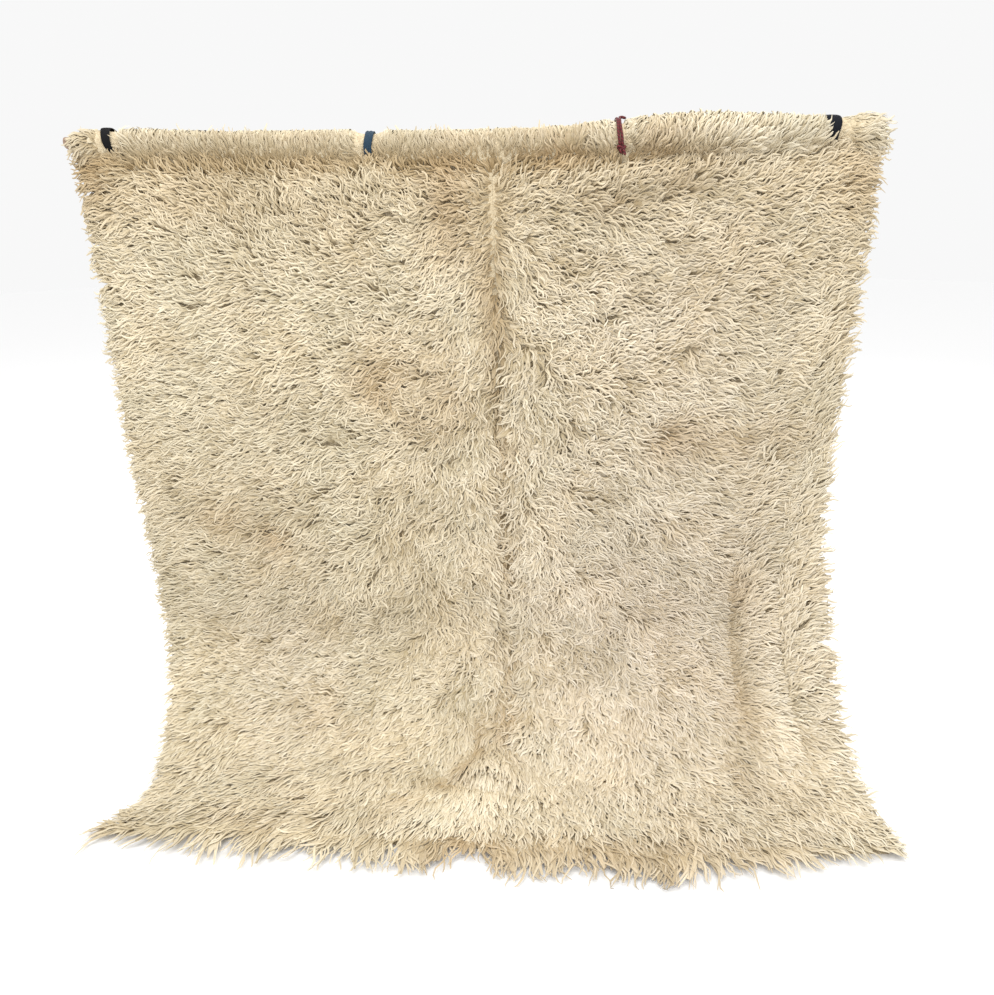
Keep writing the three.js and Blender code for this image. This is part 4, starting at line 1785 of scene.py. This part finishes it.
@dataclass
class GroundPanel:
    """One woven panel of the rug."""

    side: str
    left: float
    right: float
    drape: Drape
    step: float = 0.022  # widest spacing of its columns
    patch: ClothPatch = field(init=False)

    def __post_init__(self) -> None:
        """Trace the cloth."""
        self.patch = trace_patch(self.drape, self.left, self.right, self.step)

    @property
    def flat_size(self) -> tuple[float, float]:
        """Width and length of the panel before it was hung."""
        lengths = self.patch.down[:, -1] - self.patch.down[:, 0]
        return self.right - self.left, float(lengths.mean())

    def build(self, back: Material, front: Material) -> Object:
        """Make the panel as a closed thin sheet.

        Args:
            back: Finish of the woven back and edges.
            front: Finish of the matted pile side.

        Returns:
            The panel.
        """
        patch = self.patch
        columns, rows = patch.across.shape
        faces, backs = [], columns * rows
        for c in range(columns - 1):
            for r in range(rows - 1):
                a = c * rows + r
                faces.append((a, a + 1, a + rows + 1, a + rows))
        front_count = len(faces)
        faces += [tuple(backs + v for v in reversed(face)) for face in faces]
        rim = [c * rows for c in range(columns)]
        rim += [(columns - 1) * rows + r for r in range(1, rows)]
        rim += [c * rows + rows - 1 for c in range(columns - 2, -1, -1)]
        rim += [r for r in range(rows - 2, 0, -1)]
        for here, after in zip(rim, rim[1:] + rim[:1]):
            faces.append((here, after, backs + after, backs + here))
        front_side = (patch.back + patch.out * self.drape.ground).reshape(-1, 3)
        vertices = np.concatenate([front_side, patch.back.reshape(-1, 3)])
        panel = add_object(f"ground_{self.side}", vertices, faces, [back, front])
        marks = np.zeros(len(faces), np.int32)
        marks[:front_count] = 1
        panel.data.polygons.foreach_set("material_index", marks)
        places = np.stack([patch.across, patch.down], -1).reshape(-1, 2)
        corner = np.array([v % backs for face in faces for v in face])
        set_uv(panel, places[corner])
        return panel


# ---- Ties, pole and stitches ----


def swept(name: str, rings: Array, closed: bool, material: Material,
          uv: Array) -> Object:
    """Join rings of points into a tube.

    Args:
        name: The object's name.
        rings: Points by ring, by place round the ring.
        closed: Whether the last ring joins the first. Otherwise the ends are capped.
        material: The finish.
        uv: Coordinates by ring and place, with one more ring and place than there are points.

    Returns:
        The tube.
    """
    count, sides = rings.shape[:2]
    spans = count if closed else count - 1
    faces, places = [], []
    for i in range(spans):
        for k in range(sides):
            n, m = (i + 1) % count, (k + 1) % sides
            faces.append((i * sides + k, i * sides + m, n * sides + m, n * sides + k))
            places += [uv[i, k], uv[i, k + 1], uv[i + 1, k + 1], uv[i + 1, k]]
    if not closed:
        first, last = list(range(sides))[::-1], [(count - 1) * sides + k for k in range(sides)]
        faces += [first, last]
        places += [uv[0, 0]] * sides + [uv[count - 1, 0]] * sides
    made = add_object(name, rings.reshape(-1, 3), faces, [material])
    set_uv(made, np.array(places))
    face_out(made)
    return made


def face_out(obj: Object) -> None:
    """Turn a closed mesh's faces outwards if they point in.

    Args:
        obj: The mesh object.
    """
    volume = 0.0
    points = [v.co for v in obj.data.vertices]
    for face in obj.data.polygons:
        first, *others = (points[v] for v in face.vertices)
        volume += sum(first.dot(b.cross(c)) for b, c in zip(others, others[1:]))
    if volume < 0:
        obj.data.flip_normals()


@dataclass(frozen=True)
class Strap:
    """A flat band tied round the rug and the pole."""

    size: TieSize
    finish: RibbedCloth
    slot: Slot
    steps: int = 96
    columns: int = 9
    pinch: float = 0.0  # share of the width lost at the lower front
    pinch_place: float = 212.0  # degrees round the pole
    pinch_spread: float = 0.75
    pleats: float = 0.0  # depth of the lengthwise creases
    waver: float = 0.0008
    wander: float = 0.0012

    def _width(self, angle: float) -> float:
        """Width of the band at an angle round the pole."""
        lower_front = bell(math.remainder(angle - math.radians(self.pinch_place), TURN), self.pinch_spread)
        return self.size.width * (1 - self.pinch * lower_front)

    def _place(self, angle: float, s: float, outer: bool, drape: Drape) -> tuple[float, float, float]:
        """Find a point on the band's surface.

        Args:
            angle: Where it is round the pole.
            s: Where it is across the band, from -1 to 1.
            outer: Whether it is on the outer face.
            drape: The hanging shape.

        Returns:
            The point.
        """
        size, thick = self.size, self.size.thickness
        edge = math.sqrt(max(0.0, 1 - abs(s) ** 6))
        crease = self.pleats * math.sin(s * 7.5 + 1.4 * math.sin(angle * 2))
        out = thick / 2 + (outer - 0.5) * thick * (0.35 + 0.65 * edge) + crease
        out += self.waver * (1 + math.sin(angle * 5 + s * 2)) / 2
        radius = size.radius(angle) + out
        up = radius * math.sin(angle)
        lean = size.lean * up + self.wander * math.sin(angle * 3 + 1)
        return (size.across + s * self._width(angle) / 2 + lean, radius * math.cos(angle),
                up + drape.bow(size.across))

    def build(self, drape: Drape) -> Object:
        """Make the band, with soft edges and small creases.

        Args:
            drape: The hanging shape.

        Returns:
            The band.
        """
        length = TURN * self.size.reach
        spread = np.linspace(-1, 1, self.columns)
        section = [(s, True) for s in spread] + [(s, False) for s in spread[::-1]]
        rings, coords = [], []
        for i in range(self.steps):
            angle = TURN * i / self.steps
            rings.append([self._place(angle, s, outer, drape) for s, outer in section])
            mark = [(length * i / self.steps, s * self._width(angle) / 2) for s, _ in section]
            coords.append(mark + [mark[0]])
        coords.append([(length, v) for _, v in coords[0]])
        return swept(f"{self.size.name}_cloth", np.array(rings), True, self.finish.material(),
                     np.array(coords))


@dataclass(frozen=True)
class RedTie:
    """Two turns of cord side by side, with a knot in front and one short end on top."""

    size: TieSize = RED_TIE
    radius: float = 0.0031
    steps: int = 96
    sides: int = 10
    knot_forward: float = 0.0360
    knot_up: float = -0.016
    knot_size: tuple[float, float, float] = (0.0042, 0.0030, 0.0036)
    knot_steps: int = 60
    knot_squeeze: float = 0.88
    end_steps: int = 12
    end_wave: float = 0.0012

    def _tube(self, name: str, points: Array, closed: bool, material: Material,
              radii: Array) -> Object:
        """Sweep a round cord through points.

        Args:
            name: The piece's name.
            points: Its middle line.
            closed: Whether the line closes on itself.
            material: The finish.
            radii: Radius at each point.

        Returns:
            The cord.
        """
        ahead = np.roll(points, -1, 0) - np.roll(points, 1, 0) if closed else np.gradient(points, axis=0)
        tangent = unit(ahead)
        guide = np.array([1.0, 0.0, 0.0]) if closed else np.array([0.2, -0.3, 1.0])
        side = unit(np.cross(tangent, guide))
        other = np.cross(tangent, side)
        turns = np.arange(self.sides) * TURN / self.sides
        ring = (np.cos(turns)[None, :, None] * side[:, None] + np.sin(turns)[None, :, None] * other[:, None])
        rings = points[:, None] + ring * radii[:, None, None]
        step = np.r_[0, np.cumsum(np.linalg.norm(np.diff(points, axis=0), axis=1))]
        step = np.r_[step, step[-1] + 0.002]
        share = np.arange(self.sides + 1) / self.sides
        uv = np.stack(np.meshgrid(step, share, indexing="ij"), -1)
        return swept(name, rings, closed, material, uv)

    def _turn(self, number: int, lift: float) -> Array:
        """Trace one turn round the rug.

        Args:
            number: 0 for the left turn, 1 for the right one.
            lift: Height of the bowed pole.

        Returns:
            The points of its middle line.
        """
        size, points = self.size, []
        for i in range(self.steps):
            angle = TURN * i / self.steps
            out = size.radius(angle) + self.radius + 0.0006 * math.sin(3 * angle + number)
            up = out * math.sin(angle)
            wander = 0.0008 * math.sin(4 * angle + 2 * number)
            aside = self.radius * (2 * number - 1) + size.lean * up + wander
            points.append((size.across + aside, out * math.cos(angle), up + lift))
        return np.array(points)

    def _end(self, name: str, start: Array, way: Vector, length: float,
             material: Material) -> Object:
        """Make a short free end, rounded at its tip.

        Args:
            name: The piece's name.
            start: Where it starts.
            way: Where it points.
            length: Its length.
            material: The finish.

        Returns:
            The end.
        """
        steps = np.linspace(0, 1, self.end_steps)
        way = way.normalized()
        waves = [np.array([0, 0, self.end_wave * math.sin(5 * t)]) for t in steps]
        points = np.array([start + np.array(way) * length * t + wave for t, wave in zip(steps, waves)])
        radii = self.radius * np.sqrt(np.maximum(0.03, 1 - steps ** 8))
        return self._tube(name, points, False, material, radii)

    def build(self, drape: Drape) -> Object:
        """Make the cord, its knot and its short ends.

        Args:
            drape: The hanging shape.

        Returns:
            The tie.
        """
        size, material = self.size, TwistedCord().material()
        lift = drape.bow(size.across)
        parts = [self._tube(f"turn_{number}", self._turn(number, lift), True, material,
                            np.full(self.steps, self.radius)) for number in range(2)]
        centre = np.array([size.across + size.lean * self.knot_up, -self.knot_forward, self.knot_up + lift])
        turns = np.linspace(0, TURN, self.knot_steps + 1)[:-1]
        wide, deep, high = self.knot_size
        knot = np.stack([wide * (np.sin(turns) + 1.15 * np.sin(2 * turns)), deep * -np.sin(3 * turns),
                         high * (np.cos(turns) - 1.2 * np.cos(2 * turns))], -1) + centre
        parts.append(self._tube("knot", knot, True, material,
                                np.full(self.knot_steps, self.radius * self.knot_squeeze)))
        top = np.array([size.across + size.lean * size.top + 0.002, -0.002, size.top + 0.0035 + lift])
        ends = (("end_top", top, Vector((1.0, -0.15, 0.05)), 0.0165),
                ("end_knot", centre + np.array([0.004, -0.004, -0.003]), Vector((0.45, -0.25, -0.85)), 0.012))
        for name, start, way, length in ends:
            parts.append(self._end(name, start, way, length, material))
        return joined(f"{size.name}_cloth", parts)


@dataclass(frozen=True)
class Pole:
    """The round wooden pole, a little uneven, with softened ends."""

    left: float = -0.955
    right: float = 0.931
    radius: float = 0.0139
    stations: int = 90
    sides: int = 36
    bevel: float = 0.0016
    shrink: float = 0.0003  # keeps its unevenness inside the rug's wrap

    def build(self, drape: Drape) -> Object:
        """Make the pole along its bow.

        Args:
            drape: The hanging shape.

        Returns:
            The pole.
        """
        inner = np.linspace(self.left + self.bevel, self.right - self.bevel, self.stations)
        places = [self.left, self.left + self.bevel * 0.3, *inner, self.right - self.bevel * 0.3, self.right]
        rings, uv = [], []
        for number, x in enumerate(places):
            end = min(number, len(places) - 1 - number)
            bevel = {0: self.bevel, 1: self.bevel * 0.35}.get(end, 0.0)
            ring = []
            for k in range(self.sides):
                angle = TURN * k / self.sides
                knotty = 0.00025 * math.sin(x * 31 + 2 * angle) + 0.0002 * math.sin(x * 83 + 5 * angle)
                radius = self.radius - bevel + knotty - self.shrink
                ring.append((x, radius * math.cos(angle), radius * math.sin(angle) + drape.bow(x)))
            rings.append(ring)
            uv.append([(x, k / self.sides) for k in range(self.sides + 1)])
        return swept("pole_dressed", np.array(rings), False, PoleWood().material(), np.array(uv))


class StitchTree(PieceTree):
    """Sets a stitch of yarn at every step of a line with a stored outward way."""

    def __init__(self, material: Material) -> None:
        """Build the tree.

        Args:
            material: Finish of the yarn.
        """
        super().__init__("seam_stitches", ("Spacing", "Reach", "Yarn"))
        curve = self.step("GeometryNodeMeshToCurve", self.output(self.group, "Geometry"))
        spaced = self.step("GeometryNodeResampleCurve", curve, {"Length": self.output(self.group, "Spacing")},
                           mode="LENGTH")
        back = self.stored("out", "FLOAT_VECTOR") * -1.0
        turned = self.node("FunctionNodeAxesToRotation",
                           {"Primary Axis": back, "Secondary Axis": (1.0, 0.0, 0.0)},
                           primary_axis="Z", secondary_axis="X")
        placed = self.step("GeometryNodeInstanceOnPoints", spaced,
                           {"Instance": self._stitch(), "Rotation": self.output(turned, "Rotation"),
                            "Scale": self.chance(0.8, 1.2, 2)})
        self.finish(self.step("GeometryNodeRealizeInstances", placed), material)

    def _stitch(self) -> NodeSocket:
        """Make one slanting stitch, arched off the cloth.

        Returns:
            Its mesh.
        """
        reach = self.size("Reach")
        arch = self.node("GeometryNodeCurveQuadraticBezier",
                         {"Resolution": 6, "Start": self.triple(reach * -1.0, reach * -0.35, 0.0),
                          "Middle": self.triple(0.0, 0.0, reach * 0.42),
                          "End": self.triple(reach, reach * 0.35, 0.0)})
        ring = self.node("GeometryNodeCurvePrimitiveCircle", {"Resolution": 6, "Radius": self.size("Yarn")})
        return self.step("GeometryNodeCurveToMesh", self.output(arch),
                         {"Profile Curve": self.output(ring, "Curve"), "Fill Caps": True})


@dataclass(frozen=True)
class SeamStitches:
    """Whip stitches of thick wool yarn that join the two panels, on their back."""

    spacing: float = 0.011  # from stitch to stitch
    reach: float = 0.0062  # half the length of a stitch
    yarn: float = 0.0010  # its radius
    sink: float = 0.4  # share of the yarn's radius that is sunk in the cloth

    def _line(self, left: ClothPatch, right: ClothPatch) -> Object:
        """Lay a mesh line down the back of the seam, with the outward way stored on it.

        Args:
            left: The left panel.
            right: The right panel.

        Returns:
            The line.
        """
        edge = (left.back[-1] + right.back[0]) / 2
        out = unit(left.out[-1] + right.out[0])
        keep = left.lying[-1] == 0
        points = edge[keep] - out[keep] * self.yarn * self.sink
        mesh = bpy.data.meshes.new("seam_line")
        mesh.from_pydata([tuple(p) for p in points], [(i, i + 1) for i in range(len(points) - 1)], [])
        line = link("seam_line", mesh)
        store(line, "out", out[keep], True)
        return line

    def build(self, left: ClothPatch, right: ClothPatch, material: Material) -> Object:
        """Sew the two panels together.

        Args:
            left: The left panel.
            right: The right panel.
            material: Finish of the yarn.

        Returns:
            All stitches as one mesh.
        """
        line = self._line(left, right)
        StitchTree(material).put_on(line, {"Spacing": self.spacing, "Reach": self.reach, "Yarn": self.yarn})
        return baked(line, "seam_stitches")


# ---- The whole rug ----


@dataclass
class Rug:
    """The rug, its ties and its pole."""

    drape: Drape = field(default_factory=Drape)
    sizes: PileSizes = field(default_factory=PileSizes)
    seam_gap: float = 0.0003

    def _settle(self, piece: Object, slot: Slot, *nodes: str) -> None:
        """Fasten a piece to the frame and report it.

        Args:
            piece: The piece.
            slot: Its material slot. It is not used.
            nodes: The nodes that it stands for.
        """
        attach(piece, ROOT_BODY)
        if nodes:
            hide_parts(*nodes)
        LOG.info("%s: %d triangles", piece.name, triangles(piece))

    def build_panels(self) -> None:
        """Make both panels with their pile and the seam."""
        wool = LockWool().material()
        back, front = WovenGround().material(), UNDERCOAT.material()
        trees = {kind.name: LockTree(wool, kind.points) for kind in (TOP_LOCKS, UNDER_LOCKS)}
        half = self.seam_gap / 2
        panels = (GroundPanel("left", LEFT_EDGE, SEAM_ACROSS - half, self.drape),
                  GroundPanel("right", SEAM_ACROSS + half, RIGHT_EDGE, self.drape))
        stitches = SeamStitches().build(panels[0].patch, panels[1].patch, SEAM_YARN.material())
        self._settle(stitches, Slot.WOOL)
        for number, panel in enumerate(panels):
            ground = panel.build(back, front)
            self._settle(ground, Slot.WOOL, f"panel_{panel.side}")
            pile = Pile(panel.side, panel.patch, self.drape, self.sizes, 100 * (number + 1), front)
            locks = pile.build(trees)
            for band in locks:
                self._settle(band, Slot.WOOL)
            LOG.info("%s: flat %.3f by %.3f m", ground.name, *panel.flat_size)
            panel.flat_size

    def build_ties(self) -> None:
        """Make the four ties."""
        straps = (
            Strap(NARROW_TIE, BLACK_WEBBING, Slot.WEBBING, pinch=0.25),
            Strap(BLUE_TIE, BLUE_COTTON, Slot.BLUE, pinch=0.1, pleats=0.0007),
            Strap(WIDE_TIE, NAVY_WEBBING, Slot.WEBBING, pinch=0.5),
        )
        for strap in straps:
            self._settle(strap.build(self.drape), strap.slot, strap.size.name)
        self._settle(RedTie().build(self.drape), Slot.RED, RED_TIE.name)

    def build(self) -> None:
        """Make every piece."""
        self._settle(Pole().build(self.drape), Slot.WOOD, "pole")
        self.build_panels()
        self.build_ties()


# ---- Floor, light and camera ----


@dataclass(frozen=True)
class Studio:
    """A pale floor, soft light and the camera."""

    floor_radius: float = 16.0
    floor_sides: int = 96
    camera_place: tuple[float, float, float] = (0.169, -1.842, -0.135)
    turn: float = -3.33  # degrees, to the right
    dip: float = 21.94
    roll: float = -0.64
    lens: float = 26.0
    sensor: float = 36.0
    far: float = 60.0
    seen_shade: float = 0.06  # how much darker the surroundings look to the camera

    def build_floor(self, level: float) -> None:
        """Lay the floor.

        Args:
            level: Its height.
        """
        turns = [TURN * k / self.floor_sides for k in range(self.floor_sides)]
        ring = [(self.floor_radius * math.cos(a), self.floor_radius * math.sin(a), level) for a in turns]
        material = ShaderGraph("pale_floor").dress((0.94, 0.94, 0.94, 1), Roughness=0.9)
        add_object("floor", np.array(ring), [tuple(range(self.floor_sides))], [material])

    @staticmethod
    def _area(name: str, place: Vector, aim: Vector, size: tuple[float, float], power: float,
              colour: Colour) -> None:
        """Add a soft lamp.

        Args:
            name: The lamp's name.
            place: Where it stands.
            aim: What it looks at.
            size: Its width and height.
            power: Its power in watts.
            colour: Its colour.
        """
        data = bpy.data.lights.new(name, "AREA")
        data.shape = "RECTANGLE"
        data.size, data.size_y = size
        data.energy = power
        data.color = colour
        lamp = link(name, data)
        lamp.location = place
        lamp.rotation_euler = (aim - place).to_track_quat("-Z", "Y").to_euler()

    def build_light(self) -> None:
        """Light the rug from above and in front, with pale surroundings."""
        middle = Vector((0.05, -0.1, -0.8))
        self._area("key", Vector((-0.8, -3.4, 3.6)), middle, (3.6, 2.8), 80.0, (1.0, 0.99, 0.97))
        self._area("top", Vector((0.2, -1.5, 2.6)), Vector((0.1, -0.6, -1.5)), (2.6, 2.0), 85.0,
                   (1.0, 1.0, 0.99))
        self._area("back", Vector((0.4, 3.2, 2.0)), middle, (3.0, 2.0), 50.0, (1.0, 1.0, 1.0))
        world = bpy.data.worlds.new("surroundings")
        world.use_nodes = True
        graph = Graph(world.node_tree)
        shade = next(n for n in world.node_tree.nodes if n.type == "BACKGROUND")
        shade.inputs["Color"].default_value = (1.0, 1.0, 1.0, 1)
        seen = graph.take(graph.node("ShaderNodeLightPath"), "Is Camera Ray")
        graph.feed(shade.inputs["Strength"], seen * -self.seen_shade + 1.0)
        bpy.context.scene.world = world
        bpy.context.scene.view_settings.view_transform = "Standard"

    def build_camera(self) -> None:
        """Place the camera and make it the scene's."""
        yaw, dip, roll = (math.radians(a) for a in (self.turn, self.dip, self.roll))
        ahead = Vector((math.sin(yaw) * math.cos(dip), math.cos(yaw) * math.cos(dip), -math.sin(dip)))
        right = Vector((math.cos(yaw), -math.sin(yaw), 0.0))
        up = right.cross(ahead)
        rolled_right = right * math.cos(roll) + up * math.sin(roll)
        rolled_up = up * math.cos(roll) - right * math.sin(roll)
        turned = Matrix((rolled_right, rolled_up, -ahead)).transposed().to_4x4()
        data = bpy.data.cameras.new("camera")
        data.lens = self.lens
        data.sensor_width = self.sensor
        data.clip_end = self.far
        camera = link("camera", data)
        camera.matrix_world = Matrix.Translation(self.camera_place) @ turned
        bpy.context.scene.camera = camera


def main() -> None:
    """Build the dressed rug in its frame."""
    logging.basicConfig(level=logging.INFO, format="%(name)s %(message)s")
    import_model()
    studio = Studio()
    studio.build_camera()
    rug = Rug()
    rug.build()
    studio.build_floor(rug.drape.floor)
    studio.build_light()


if __name__ == "__main__":
    main()
